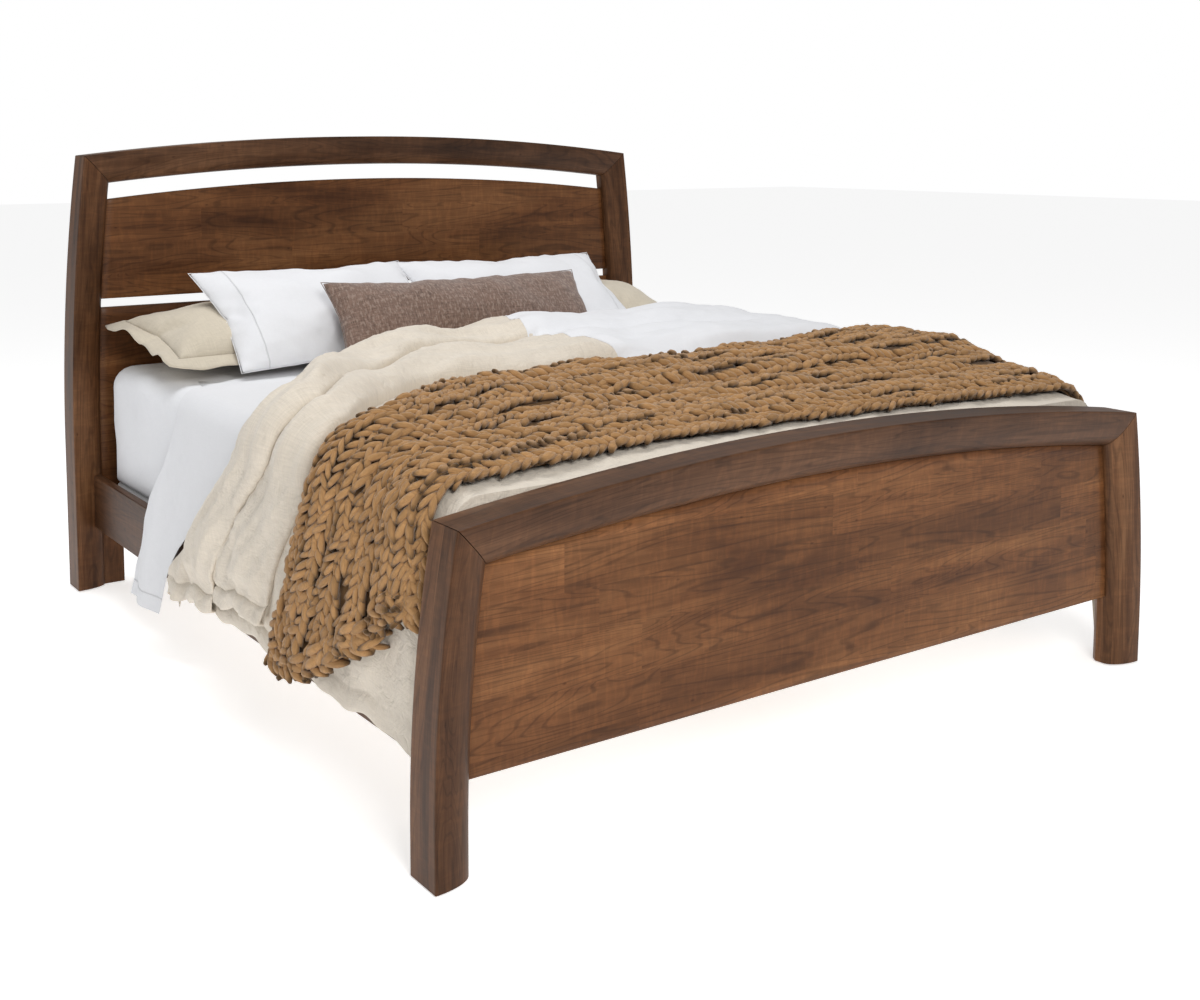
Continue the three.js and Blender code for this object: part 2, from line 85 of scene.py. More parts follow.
# ---- how the covers fall over the mattress
SHOULDER = 0.060
FLARE = math.radians(9.5)
FLAT_HALF = MATTRESS_HALF - SHOULDER
TURN = math.pi / 2 - FLARE

# The stitch line that closes a hem lies this far from the cloth's edge.
HEM_BAND = 0.090


# ---- mesh helpers
def make_object(name, verts, faces, material, body="bed", sharp=35.0):
    mesh = bpy.data.meshes.new(name)
    mesh.from_pydata([tuple(v) for v in verts], [], [tuple(f) for f in faces])
    mesh.validate()
    mesh.shade_smooth()
    if sharp:
        mesh.set_sharp_from_angle(angle=math.radians(sharp))
    obj = bpy.data.objects.new(name, mesh)
    bpy.context.scene.collection.objects.link(obj)
    mesh.materials.append(material)
    if body:
        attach(obj, body)
    return obj


def set_vectors(obj, name, values):
    """Stores one vector per vertex, which a material reads by name."""
    attribute = obj.data.attributes.new(name, "FLOAT_VECTOR", "POINT")
    attribute.data.foreach_set("vector", np.asarray(values, np.float32).ravel())


def grid_faces(rows, cols, start=0, wrap=False):
    """Quads of a grid of points numbered row by row. wrap joins the last column to the first."""
    r = np.arange(rows - 1)
    c = np.arange(cols if wrap else cols - 1)
    r, c = np.meshgrid(r, c, indexing="ij")
    right = (c + 1) % cols
    faces = [r * cols + c, r * cols + right, (r + 1) * cols + right, (r + 1) * cols + c]
    return (np.stack([f.ravel() for f in faces], 1) + start).tolist()


def edge_loop(rows, cols):
    """The indices round the outside of a grid, in order."""
    top = list(range(cols))
    right = [r * cols + cols - 1 for r in range(1, rows)]
    bottom = [(rows - 1) * cols + c for c in range(cols - 2, -1, -1)]
    left = [r * cols for r in range(rows - 2, 0, -1)]
    return top + right + bottom + left


def skin(name, outer, inner, material, coords=None):
    """A closed cover from an outer and an inner grid of points of the same shape."""
    rows, cols, _ = outer.shape
    count = rows * cols
    verts = np.concatenate([outer.reshape(-1, 3), inner.reshape(-1, 3)])
    faces = grid_faces(rows, cols)
    faces += [f[::-1] for f in grid_faces(rows, cols, count)]
    loop = edge_loop(rows, cols)
    for a, b in zip(loop, loop[1:] + loop[:1]):
        faces.append([b, a, a + count, b + count])
    obj = make_object(name, verts, faces, material, sharp=60.0)
    if coords is not None:
        flat = coords.reshape(-1, 3)
        set_vectors(obj, "cloth", np.concatenate([flat, flat]))
    return obj


def stack_rings(rings):
    """Points and faces of a closed solid through equal rings, with both ends capped."""
    count = len(rings[0])
    last = (len(rings) - 1) * count
    faces = grid_faces(len(rings), count, 0, True)
    faces.append(list(range(count))[::-1])
    faces.append([last + i for i in range(count)])
    return [p for ring in rings for p in ring], faces


def face_outwards(mesh):
    """Turns the whole mesh right side out if it encloses its volume inside out."""
    total = 0.0
    for face in mesh.polygons:
        a, *rest = [mesh.vertices[i].co for i in face.vertices]
        for b, c in zip(rest, rest[1:]):
            total += a.dot(b.cross(c))
    if total < 0:
        mesh.flip_normals()


def unit(vectors):
    return vectors / np.linalg.norm(vectors, axis=-1, keepdims=True)


def distances(path):
    """How far along the path each of its points lies."""
    return np.concatenate([[0], np.cumsum(np.linalg.norm(np.diff(path, axis=0), axis=1))])


def ripples(p, q, wavelength, seed, count=7):
    """Smooth unrepeating waves over the plane (p, q), about -1 to 1."""
    local = np.random.default_rng(seed)
    total = np.zeros(np.broadcast(p, q).shape)
    for _ in range(count):
        angle = local.uniform(0, 2 * math.pi)
        k = 2 * math.pi / (wavelength * local.uniform(0.7, 1.5))
        phase = local.uniform(0, 2 * math.pi)
        total += np.sin(k * (math.cos(angle) * p + math.sin(angle) * q) + phase)
    return total / math.sqrt(count) * 0.8


def smooth_step(x, low, high):
    t = np.clip((x - low) / (high - low), 0, 1)
    return t * t * (3 - 2 * t)


def smooth_line(points):
    """A soft line through (across, along) points, as a function of the distance across."""
    xs, ys = np.array(points, float).T
    width, step = 0.10, 0.005
    sample = np.linspace(-1.8, 1.8, round(3.6 / step) + 1)
    kernel = np.hanning(int(width / step) | 1)
    kernel /= kernel.sum()
    padded = np.pad(np.interp(sample, xs, ys), len(kernel) // 2, mode="edge")
    values = np.convolve(padded, kernel, mode="valid")
    return lambda s: np.interp(s, sample, values)


# ---- materials
class Graph:
    """A short way to write a material's nodes."""

    def __init__(self, name):
        self.material = bpy.data.materials.new(name)
        self.material.use_nodes = True
        self.tree = self.material.node_tree
        self.tree.nodes.clear()
        out = self.tree.nodes.new("ShaderNodeOutputMaterial")
        self.shader = self.tree.nodes.new("ShaderNodeBsdfPrincipled")
        self.tree.links.new(self.shader.outputs[0], out.inputs[0])

    def node(self, kind, settings=None, **inputs):
        """A new node. Each input is a value or another node's socket; a_b names the socket "a b"."""
        made = self.tree.nodes.new("ShaderNode" + kind)
        for key, value in (settings or {}).items():
            setattr(made, key, value)
        for key, value in inputs.items():
            self.feed(made, key.replace("_", " "), value)
        return made

    def feed(self, node, socket, value):
        target = node.inputs[socket]
        if isinstance(value, bpy.types.NodeSocket):
            self.tree.links.new(value, target)
        else:
            target.default_value = value

    def numbered(self, kind, settings, values):
        """A new node whose inputs are filled in order."""
        made = self.node(kind, settings)
        for i, value in enumerate(values):
            self.feed(made, i, value)
        return made

    def attribute(self, name):
        return self.node("Attribute", {"attribute_name": name}).outputs["Vector"]

    def position(self):
        return self.node("NewGeometry").outputs["Position"]

    def math(self, operation, a, b=0.0):
        return self.numbered("Math", {"operation": operation}, (a, b)).outputs[0]

    def scaled(self, vector, scale):
        return self.numbered("VectorMath", {"operation": "MULTIPLY"}, (vector, scale)).outputs[0]

    def added(self, a, b):
        return self.numbered("VectorMath", {"operation": "ADD"}, (a, b)).outputs[0]

    def blend(self, a, share, b):
        """share of a and the rest of b, of two heights."""
        return self.math("ADD", self.math("MULTIPLY", a, share), self.math("MULTIPLY", b, 1 - share))

    def noise(self, vector, scale, detail=3.0, rough=0.5, distortion=0.0):
        """Noise whose scale is a number, or one number for each axis."""
        if isinstance(scale, tuple):
            vector, scale = self.scaled(vector, scale), 1.0
        return self.node("TexNoise", Vector=vector, Scale=scale, Detail=detail, Roughness=rough,
                         Distortion=distortion).outputs[0]

    def remap(self, value, low, high, to_low=0.0, to_high=1.0):
        return self.numbered("MapRange", {"clamp": True}, (value, low, high, to_low, to_high)).outputs[0]

    def ramp(self, value, stops):
        made = self.numbered("ValToRGB", {}, (value,))
        elements = made.color_ramp.elements
        while len(elements) < len(stops):
            elements.new(0.5)
        for element, (place, colour) in zip(elements, stops):
            element.position = place
            element.color = (*colour, 1)
        return made.outputs[0]

    def mix(self, factor, a, b, blend="MIX"):
        made = self.node("Mix", {"data_type": "RGBA", "blend_type": blend})
        for socket, value in ((0, factor), (6, a), (7, b)):
            self.feed(made, socket, (*value, 1) if isinstance(value, tuple) else value)
        return made.outputs[2]

    def shaded(self, colour, level):
        """The colour multiplied by a level, 1 leaving it as it is."""
        level = self.node("CombineColor", Red=level, Green=level, Blue=level).outputs[0]
        return self.mix(1.0, colour, level, "MULTIPLY")

    def stained(self, base, where, share, stain):
        """The base multiplied by a stain, by a share where the mask is 1."""
        return self.mix(self.math("MULTIPLY", where, share), base, self.mix(1.0, base, stain, "MULTIPLY"))

    def bump(self, height, distance, strength, normal=None):
        made = self.node("Bump", Height=height, Distance=distance, Strength=strength)
        if normal is not None:
            self.feed(made, "Normal", normal)
        return made.outputs[0]

    def finish(self, **values):
        for key, value in values.items():
            value = (*value, 1) if isinstance(value, tuple) else value
            self.feed(self.shader, key.replace("_", " "), value)
        return self.material


def grey(value):
    return (value, value, value)


def split_staves(g, at, along, across, length, height):
    """Cuts the grain into glued staves. Gives the moved grain and a random tone for each stave."""
    row = g.math("FLOOR", g.math("DIVIDE", across, height))
    jog = g.node("TexWhiteNoise", {"noise_dimensions": "1D"}, W=row).outputs["Value"]
    column = g.math("FLOOR", g.math("ADD", g.math("DIVIDE", along, length), g.math("MULTIPLY", jog, 5.0)))
    cell = g.node("CombineXYZ", X=column, Y=row).outputs[0]
    pick = g.node("TexWhiteNoise", {"noise_dimensions": "3D"}, Vector=cell)
    return g.added(at, g.scaled(pick.outputs["Color"], (9.0, 3.0, 2.0))), pick.outputs["Value"]


def split_strips(g, at, into, thick):
    """Cuts a post into laminations. Gives the moved grain and a random tone for each of them."""
    row = g.math("FLOOR", g.math("DIVIDE", into, thick))
    pick = g.node("TexWhiteNoise", {"noise_dimensions": "1D"}, W=row)
    tone = g.math("SUBTRACT", g.math("MULTIPLY", pick.outputs["Value"], 2.2), 0.75)
    return g.added(at, g.scaled(pick.outputs["Color"], (5.0, 1.0, 1.0))), tone


def wood(name, dark, mid, light, staves=None, strips=None, figure=1.0, streaks=1.0):
    """Stained maple. The wood attribute is (along the grain, across it, into the piece)."""
    g = Graph(name)
    whole = at = g.attribute("wood")
    along, across, into = g.node("SeparateXYZ", Vector=at).outputs
    tone = None
    if staves:
        at, tone = split_staves(g, at, along, across, *staves)
    if strips:
        at, tone = split_strips(g, at, into, strips)

    blotch = g.noise(whole, (1.3, 7.0, 7.0), 5.0, 0.60, 0.5)
    broad = g.noise(at, (2.2, 30.0, 30.0), 3.0, 0.6, 0.5)
    streak = g.noise(at, (5.0, 95.0, 95.0), 4.0, 0.65, 0.3)
    fibre = g.noise(at, (9.0, 420.0, 420.0), 3.0, 0.65)
    pores = g.noise(at, (28.0, 900.0, 900.0), 2.0)
    curl = g.noise(at, (60.0, 14.0, 14.0), 3.0, 0.55, 0.8)
    flame = g.noise(at, (0.9, 9.0, 9.0), 2.0, 0.5, 0.6)
    rings = g.math("SINE", g.math("MULTIPLY", flame, 150.0))
    knots = g.node("TexVoronoi", {"feature": "F1"}, Vector=g.scaled(at, (2.1, 4.6, 1.0)))

    base = g.ramp(blotch, [(0.34, dark), (0.50, mid), (0.66, light)])
    for where, share, stain in (
        (g.remap(broad, 0.42, 0.62), 0.45 * streaks, (0.56, 0.50, 0.46)),
        (g.remap(streak, 0.44, 0.60), 0.60 * streaks, (0.50, 0.44, 0.40)),
        (g.remap(fibre, 0.35, 0.70), 0.40, grey(0.62)),
        (g.remap(rings, 0.55, 1.00), 0.62 * figure, grey(0.55)),
        (g.remap(curl, 0.46, 0.66), 0.42 * figure, (1.50, 1.45, 1.40)),
        (g.remap(pores, 0.62, 0.78), 0.45, grey(0.45)),
        (g.remap(knots.outputs["Distance"], 0.012, 0.075, 1.0, 0.0), 0.75, (0.30, 0.24, 0.20)),
    ):
        base = g.stained(base, where, share, stain)
    if tone is not None:
        base = g.shaded(base, g.remap(tone, -1.0, 2.0, 0.66, 1.36))
    return g.finish(Base_Color=base, Roughness=g.remap(blotch, 0.3, 0.7, 0.37, 0.50),
                    Normal=g.bump(g.blend(fibre, 0.6, pores), 0.0004, 0.35),
                    Coat_Weight=0.06, Coat_Roughness=0.22, Specular_IOR_Level=0.14)


def fabric(name, colour, thread, contrast, bump, crumple, tone, sheen=0.25, fleck=None):
    """Woven cloth. The cloth attribute is (across, along, distance from a hemmed edge) in metres.

    contrast and tone are how much its threads and its wider clouds vary in brightness, and bump and
    crumple are the heights of its threads and of its small wrinkles.
    """
    g = Graph(name)
    at = g.attribute("cloth")
    fine = 1 / thread
    warp = g.noise(at, (fine, fine * 0.045, 1.0), 2.0, 0.6)
    weft = g.noise(at, (fine * 0.045, fine, 1.0), 2.0, 0.6)
    weave = g.blend(warp, 0.5, weft)
    cloud = g.noise(at, (7.0, 7.0, 1.0), 3.0, 0.55)
    level = g.math("MULTIPLY", g.remap(weave, 0.36, 0.64, 1.0 - contrast, 1.0 + contrast),
                   g.remap(cloud, 0.3, 0.7, 1.0 - tone, 1.0 + tone))
    base = g.shaded(colour, level)
    if fleck:
        spots = g.noise(at, (fine * 0.5, fine * 0.22, 1.0), 2.0, 0.6)
        base = g.mix(g.remap(spots, 0.50, 0.62, 0.0, 0.8), base, fleck)
    from_edge = g.node("SeparateXYZ", Vector=at).outputs[2]
    off_stitch = g.math("ABSOLUTE", g.math("SUBTRACT", from_edge, HEM_BAND))
    stitched = g.remap(off_stitch, 0.0008, 0.0026, 1.0, 0.0)
    base = g.stained(base, stitched, 0.26, grey(0.45))
    normal = g.bump(weave, bump, 0.8)
    normal = g.bump(g.math("SUBTRACT", 1.0, stitched), 0.0016, 0.9, normal)
    wrinkles = g.noise(at, (26.0, 26.0, 1.0), 4.0, 0.62, 0.8)
    normal = g.bump(wrinkles, crumple, 0.9, normal)
    return g.finish(Base_Color=base, Roughness=0.92, Normal=normal, Sheen_Weight=sheen,
                    Sheen_Roughness=0.5, Specular_IOR_Level=0.25)


def knit_yarn(name, colour):
    """Roving, darkened low in each strand and towards its ends as painted shade. The yarn attribute is
    (place along a strand, height in it, shade), each 0 to 1.
    """
    g = Graph(name)
    at = g.attribute("yarn")
    along, height, shade = g.node("SeparateXYZ", Vector=at).outputs
    strands = g.noise(at, (3.0, 16.0, 40.0), 3.0, 0.6)
    fuzz = g.noise(g.position(), 380.0, 3.0, 0.65)
    from_middle = g.math("ABSOLUTE", g.math("SUBTRACT", along, 0.5))
    level = g.remap(strands, 0.35, 0.65, 0.84, 1.12)
    # Painted shade: each strand is darker low down and towards its ends, where the stitches cover each
    # other.
    for part in (g.remap(shade, 0.0, 1.0, 0.84, 1.14), g.remap(height, 0.10, 0.75, 0.34, 1.12),
                 g.remap(from_middle, 0.28, 0.50, 1.0, 0.42)):
        level = g.math("MULTIPLY", level, part)
    return g.finish(Base_Color=g.shaded(colour, level), Roughness=0.95,
                    Normal=g.bump(g.blend(strands, 0.6, fuzz), 0.0022, 0.9),
                    Sheen_Weight=0.25, Sheen_Roughness=0.45, Specular_IOR_Level=0.2)


def plain_timber(name, colour):
    """The unstained boards under the bed."""
    g = Graph(name)
    at = g.position()
    grain = g.noise(at, (4.0, 60.0, 60.0), 4.0, 0.6, 0.6)
    cloud = g.noise(at, 3.0)
    level = g.math("MULTIPLY", g.remap(grain, 0.3, 0.7, 0.75, 1.12), g.remap(cloud, 0.3, 0.7, 0.9, 1.1))
    return g.finish(Base_Color=g.shaded(colour, level), Roughness=0.65, Normal=g.bump(grain, 0.0006, 0.5))


def metal(name, colour):
    g = Graph(name)
    scratch = g.noise(g.position(), (60.0, 900.0, 60.0), 3.0, 0.6)
    return g.finish(Base_Color=colour, Roughness=g.remap(scratch, 0.3, 0.7, 0.3, 0.5), Metallic=1.0,
                    Normal=g.bump(scratch, 0.0002, 0.3))


def moulded(name, colour):
    g = Graph(name)
    pebble = g.noise(g.position(), 700.0, 2.0)
    return g.finish(Base_Color=colour, Roughness=g.remap(pebble, 0.3, 0.7, 0.45, 0.65),
                    Normal=g.bump(pebble, 0.0003, 0.4))


DARK_WOOD = wood("dark_stain", (0.048, 0.0190, 0.0070), (0.120, 0.0520, 0.0215), (0.185, 0.088, 0.0400),
                 strips=0.0238, figure=0.9, streaks=0.9)
PANEL_WOOD = wood("panel_stain", (0.080, 0.0290, 0.0095), (0.148, 0.0590, 0.0205), (0.210, 0.092, 0.0350),
                  staves=(0.72, 0.096), figure=1.1, streaks=0.6)
RAIL_WOOD = wood("rail_stain", (0.042, 0.0180, 0.0080), (0.098, 0.0450, 0.0215), (0.152, 0.074, 0.0370),
                 streaks=0.7)
WHITE = fabric("white_cotton", (0.78, 0.79, 0.82), thread=0.0011, contrast=0.025, bump=0.0002,
               crumple=0.0022, tone=0.012, sheen=0.15)
SATIN_WHITE = fabric("white_percale", (0.74, 0.748, 0.775), thread=0.0011, contrast=0.02, bump=0.0002,
                     crumple=0.0016, tone=0.01, sheen=0.15)
OAT = fabric("oat_linen", (0.675, 0.61, 0.52), thread=0.0019, contrast=0.085, bump=0.0006,
             crumple=0.0085, tone=0.045, sheen=0.2)
BEIGE = fabric("beige_linen", (0.57, 0.51, 0.41), thread=0.0019, contrast=0.085, bump=0.0006,
               crumple=0.003, tone=0.03, sheen=0.2)
TWEED = fabric("brown_tweed", (0.170, 0.110, 0.086), thread=0.0034, contrast=0.42, bump=0.0014,
               crumple=0.0016, tone=0.05, sheen=0.3, fleck=(0.29, 0.215, 0.175))
FOUNDATION_CLOTH = fabric("foundation_cloth", (0.78, 0.78, 0.79), thread=0.0015, contrast=0.03,
                          bump=0.0003, crumple=0.002, tone=0.02)
YARN = knit_yarn("caramel_yarn", (0.335, 0.188, 0.080))
# A darker copy of the yarn, for the sheet under the stitches: painted shade in the gaps between them.
YARN_SHADE_SHEET = knit_yarn("caramel_yarn_painted_shade", (0.150, 0.082, 0.035))
TIMBER = plain_timber("plain_wood", (0.45, 0.30, 0.15))
STEEL = metal("zinc_steel", (0.45, 0.46, 0.47))
PLASTIC = moulded("black_plastic", (0.018, 0.018, 0.018))


# ---- timber frame
def back_depth(s):
    """How deep the moulding is, a distance s in from its outer edge."""
    t = max(0.0, (s - MOULD_BACK_FLAT) / (MOULD_WIDTH - MOULD_BACK_FLAT))
    return POST_DEPTH - (POST_DEPTH - MOULD_INNER_BACK) * t * t


def mould_profile():
    """Points (in from the outer edge, behind the front) round the moulding, with eased corners."""
    ease = 0.0022
    near, far = ease * 0.3, ease * 3
    points = [(MOULD_BACK_FLAT, POST_DEPTH), (far, POST_DEPTH), (ease, POST_DEPTH),
              (near, POST_DEPTH - near), (0, POST_DEPTH - ease), (0, POST_DEPTH - far),
              (0, POST_DEPTH * 0.66), (0, POST_DEPTH * 0.33),
              (0, far), (0, ease), (near, near), (ease, 0), (far, 0.0001)]
    for i in range(3, 37):
        a = math.radians(2.5 * i)
        s = MOULD_WIDTH * math.sin(a)
        if s > ease * 4:
            points.append((s, MOULD_SET_BACK * (1 - math.cos(a))))
    points.append((MOULD_WIDTH, MOULD_INNER_BACK - ease))
    for i in range(8):
        s = MOULD_WIDTH - (MOULD_WIDTH - MOULD_BACK_FLAT) * i / 8
        points.append((s, back_depth(s)))
    return points


PROFILE = mould_profile()


def bow(end, z):
    """How far a post has curved in at height z."""
    t = max(0.0, (z - end["bow_from"]) / (end["height"] - end["bow_from"]))
    return end["inset"] * t * t


def arch_top(end, x):
    """Height of the top rail's upper edge."""
    corner = HALF - end["inset"]
    return end["height"] + end["rise"] * (1 - (x / corner) ** 2)


def mitre(end, s):
    """Where post and rail meet, s in from their outer edges: their curves cross there."""
    x, z = 0.0, end["height"] - s
    for _ in range(40):
        x = HALF - bow(end, z) - s
        z = arch_top(end, x) - s
    return x, z


def inner_edge(end, z):
    return HALF - bow(end, z) - MOULD_WIDTH


def tube(name, rings, wood_coords, material):
    """A capped solid through equal rings. A grain vector goes with each of its points."""
    obj = make_object(name, *stack_rings(rings), material)
    face_outwards(obj.data)
    set_vectors(obj, "wood", [c for ring in wood_coords for c in ring])
    return obj


def sweep_moulding(name, steps, y, place, shift, material):
    """The moulding swept along a curve. place(share, s) gives (x, z, how far along the grain)."""
    rings, coords = [], []
    for k in range(steps + 1):
        places = [place(k / steps, s) for s, _ in PROFILE]
        rings.append([(x, y + d, z) for (x, z, _), (_, d) in zip(places, PROFILE)])
        coords.append([(along + shift, s + shift * 0.3, d)
                       for (_, _, along), (s, d) in zip(places, PROFILE)])
    return tube(name, rings, coords, material)


def make_post(name, end, y, side, shift):
    def place(share, s):
        z = POST_BOTTOM + (mitre(end, s)[1] - MITRE_GAP - POST_BOTTOM) * share
        return side * (HALF - bow(end, z) - s), z, z

    return sweep_moulding(name, 48, y, place, shift, DARK_WOOD)


def make_top_rail(name, end, y, shift):
    def place(share, s):
        x = (2 * share - 1) * (mitre(end, s)[0] - MITRE_GAP)
        return x, arch_top(end, x) - s, x

    return sweep_moulding(name, 90, y, place, shift, RAIL_WOOD)


def make_panel(name, end, y, bottom, top, shift):
    """A board between the posts with eased edges, as four layers of points from front to back."""
    rows, cols = 26, 80
    ease = 0.0012
    corner = inner_edge(end, bottom) - FIT
    for _ in range(30):
        corner = inner_edge(end, top(corner)) - FIT
    verts, coords = [], []
    for depth, shrink in ((0.0, ease), (ease, 0.0), (PANEL_THICK - ease, 0.0), (PANEL_THICK, ease)):
        for r in range(rows):
            v = r / (rows - 1)
            for c in range(cols):
                u = 2 * c / (cols - 1) - 1
                level = bottom + (top(u * corner) - bottom) * v
                x = u * (inner_edge(end, level) - FIT - shrink)
                z = bottom + shrink + (top(x) - shrink - bottom - shrink) * v
                verts.append((x, y + MOULD_SET_BACK + depth, z))
                coords.append((x + shift, z + shift, depth))
    layer = rows * cols
    faces = [f[::-1] for f in grid_faces(rows, cols)]
    faces += grid_faces(rows, cols, 3 * layer)
    loop = edge_loop(rows, cols)
    for front in range(0, 3 * layer, layer):
        for a, b in zip(loop, loop[1:] + loop[:1]):
            faces.append([front + a, front + b, front + layer + b, front + layer + a])
    panel = make_object(name, verts, faces, PANEL_WOOD, sharp=50)
    face_outwards(panel.data)
    set_vectors(panel, "wood", coords)
    return panel


def make_side_rail(name, low, high, shift):
    """A straight board with rounded edges, between two corners of its box."""
    ease = 0.003
    outline = []
    for cx, cz, start in ((high.x - ease, high.z - ease, 0), (low.x + ease, high.z - ease, 90),
                          (low.x + ease, low.z + ease, 180), (high.x - ease, low.z + ease, 270)):
        for i in range(5):
            a = math.radians(start + 22.5 * i)
            outline.append((cx + ease * math.cos(a), cz + ease * math.sin(a)))
    places = [low.y + (high.y - low.y) * k / 24 for k in range(25)]
    rings = [[(x, y, z) for x, z in outline] for y in places]
    coords = [[(y + shift, z, x - low.x) for x, z in outline] for y in places]
    return tube(name, rings, coords, RAIL_WOOD)


def make_inner_leg(name, low, high, side):
    """The block beside each head post: full depth to the floor, thin behind the lower panel."""
    gap = 0.0003
    front = HEAD_Y + MOULD_SET_BACK
    step = LOWER_PANEL_BOTTOM - gap
    rings, coords = [], []
    for z in (gap, 0.06, 0.12, step - 0.001, step, step + 0.0005, 0.3, HEAD["bow_from"]):
        near = front if z <= step else front + PANEL_THICK + gap
        ring = [(low.x, near, z), (high.x, near, z), (high.x, high.y, z), (low.x, high.y, z)]
        rings.append(ring)
        coords.append([(z + side, x, y - front) for x, y, _ in ring])
    return tube(name, rings, coords, DARK_WOOD)


def build_frame():
    """The wooden pieces that show. shift moves the grain, so that no two pieces look alike."""
    for name, end, y, shift in (("head", HEAD, HEAD_Y, 0.0), ("foot", FOOT, FOOT_Y, 3.1)):
        for word, side in (("left", -1), ("right", 1)):
            post = make_post(f"{name}_post_{word}_wood", end, y, side, shift + side * 1.3)
            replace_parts(post, f"{name}_post_{word}")
        rail = make_top_rail(f"{name}_top_rail_wood", end, y, shift)
        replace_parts(rail, f"{name}_top_rail")
    panels = (
        ("head_upper_panel", HEAD, HEAD_Y, UPPER_PANEL_BOTTOM,
         lambda x: arch_top(HEAD, x) - MOULD_WIDTH - HEAD_SLOT, 0.0),
        ("head_lower_panel", HEAD, HEAD_Y, LOWER_PANEL_BOTTOM, lambda x: LOWER_PANEL_TOP, 1.7),
        ("foot_panel", FOOT, FOOT_Y, FOOT_PANEL_BOTTOM,
         lambda x: arch_top(FOOT, x) - MOULD_WIDTH - FIT, 4.3),
    )
    for node, *shape in panels:
        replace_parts(make_panel(f"{node}_wood", *shape), node)
    for word, side in (("left", -1), ("right", 1)):
        node = f"side_rail_{word}"
        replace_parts(make_side_rail(f"{node}_wood", *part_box(node), side * 2.0), node)
        node = f"head_inner_leg_{word}"
        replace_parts(make_inner_leg(f"{node}_wood", *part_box(node), side), node)


def dress_cad_nodes():
    """Materials for the pieces under the bed, whose CAD shape is used as it is."""
    finishes = {"plain_wood": TIMBER, "steel": STEEL, "plastic": PLASTIC}
    slots = {row["node"]: row["material_slot"] for row in frame["record"]["subparts"]}
    for name, obj in frame["nodes"].items():
        finish = finishes.get(slots.get(name))
        if finish:
            obj.data.materials.clear()
            obj.data.materials.append(finish)


# ---- the covers' common surface
def bed_section(s):
    """Point and normal of the mattress's cross-section at a distance s across, from the middle."""
    side = np.sign(s)
    a = np.abs(s)
    angle = np.clip((a - FLAT_HALF) / SHOULDER, 0, TURN)
    past = np.maximum(a - FLAT_HALF - SHOULDER * TURN, 0)
    x = np.minimum(a, FLAT_HALF) + SHOULDER * np.sin(angle) + past * math.sin(FLARE)
    z = MATTRESS_TOP - SHOULDER * (1 - np.cos(angle)) - past * math.cos(FLARE)
    return side * x, z, side * np.sin(angle), np.cos(angle)


def lay(s, t, h):
    """Points at height h over the bed, s across from the middle and t along."""
    x, z, nx, nz = bed_section(s)
    return np.stack(np.broadcast_arrays(x + nx * h, t, z + nz * h), -1)


def hang(s):
    """0 on top of the bed, 1 at the bottom of its sides."""
    return smooth_step(np.abs(s), FLAT_HALF, 1.42)


# Where each edge lies: (across the bed, along the bed). Left of the middle is negative.
FOLD_EDGE = smooth_line([(-1.50, 0.26), (-1.41, 0.26), (-1.28, 0.17), (-1.14, 0.04), (-1.03, -0.07),
                         (-0.95, -0.11), (-0.87, -0.06), (-0.68, 0.18), (-0.41, 0.48), (-0.14, 0.62),
                         (0.40, 0.68), (0.85, 0.55), (1.0, 0.42), (1.5, 0.52)])
CREASE_1 = smooth_line([(-1.50, -0.03), (-1.33, -0.04), (-1.22, -0.09), (-1.09, -0.20), (-0.98, -0.31),
                        (-0.92, -0.32), (-0.69, -0.06), (-0.42, 0.15), (-0.15, 0.22), (0.40, 0.20),
                        (0.90, 0.10), (1.0, 0.06), (1.5, 0.16)])
CREASE_2 = smooth_line([(-1.50, -0.30), (-1.33, -0.31), (-1.18, -0.38), (-1.04, -0.47), (-0.95, -0.48),
                        (-0.75, -0.28), (-0.55, -0.13), (-0.24, -0.12), (0.30, -0.10), (0.90, -0.16),
                        (1.0, -0.20), (1.5, -0.12)])
SHEET_EDGE = smooth_line([(-1.55, 0.57), (-1.41, 0.55), (-1.27, 0.51), (-1.12, 0.44), (-0.97, 0.41),
                          (-0.84, 0.47), (-0.57, 0.63), (-0.30, 0.74), (1.6, 0.76)])
THROW_FAR = smooth_line([(-1.45, -0.42), (-1.33, -0.46), (-1.16, -0.53), (-0.98, -0.60), (-0.88, -0.58),
                         (-0.58, -0.40), (-0.37, -0.36), (0.02, -0.32), (0.50, -0.27), (0.90, -0.25),
                         (1.10, -0.28), (1.45, -0.30)])
THROW_NEAR = smooth_line([(-1.45, -0.99), (-1.0, -0.985), (-0.74, -0.945), (-0.40, -0.90), (0.0, -0.89),
                          (0.50, -0.93), (0.90, -0.97), (1.10, -0.96), (1.45, -0.96)])
LOWER_HEM = 1.415
DUVET_FOOT = -1.020
# The duvet is stitched through this far from its hem.
DUVET_BAND = 0.045


def side_folds(s, t, size, wavelength=0.19, seed=21):
    """Soft upright folds that grow towards the bottom of the hanging sides."""
    wave = ripples(t + 0.12 * np.abs(s), s * 0.12, wavelength, seed, 5)
    return size * wave * hang(s) ** 1.2


def duvet_height(s, t):
    """Top of the duvet's lower layer above the mattress."""
    full = 0.020 + 0.034 * smooth_step(t, -0.90, -0.28)
    puff = full * (1 + 0.20 * ripples(s, t, 0.55, 11) + 0.11 * ripples(s, t, 0.16, 12))
    puff = puff + 0.0022 * ripples(s, t, 0.05, 13, 9)
    foot = smooth_step(t, DUVET_FOOT - 0.004, DUVET_FOOT + 0.10)
    side = 1 - 0.30 * hang(s)
    return 0.010 + np.maximum(puff - 0.010, 0) * foot * side + side_folds(s, t, 0.012)


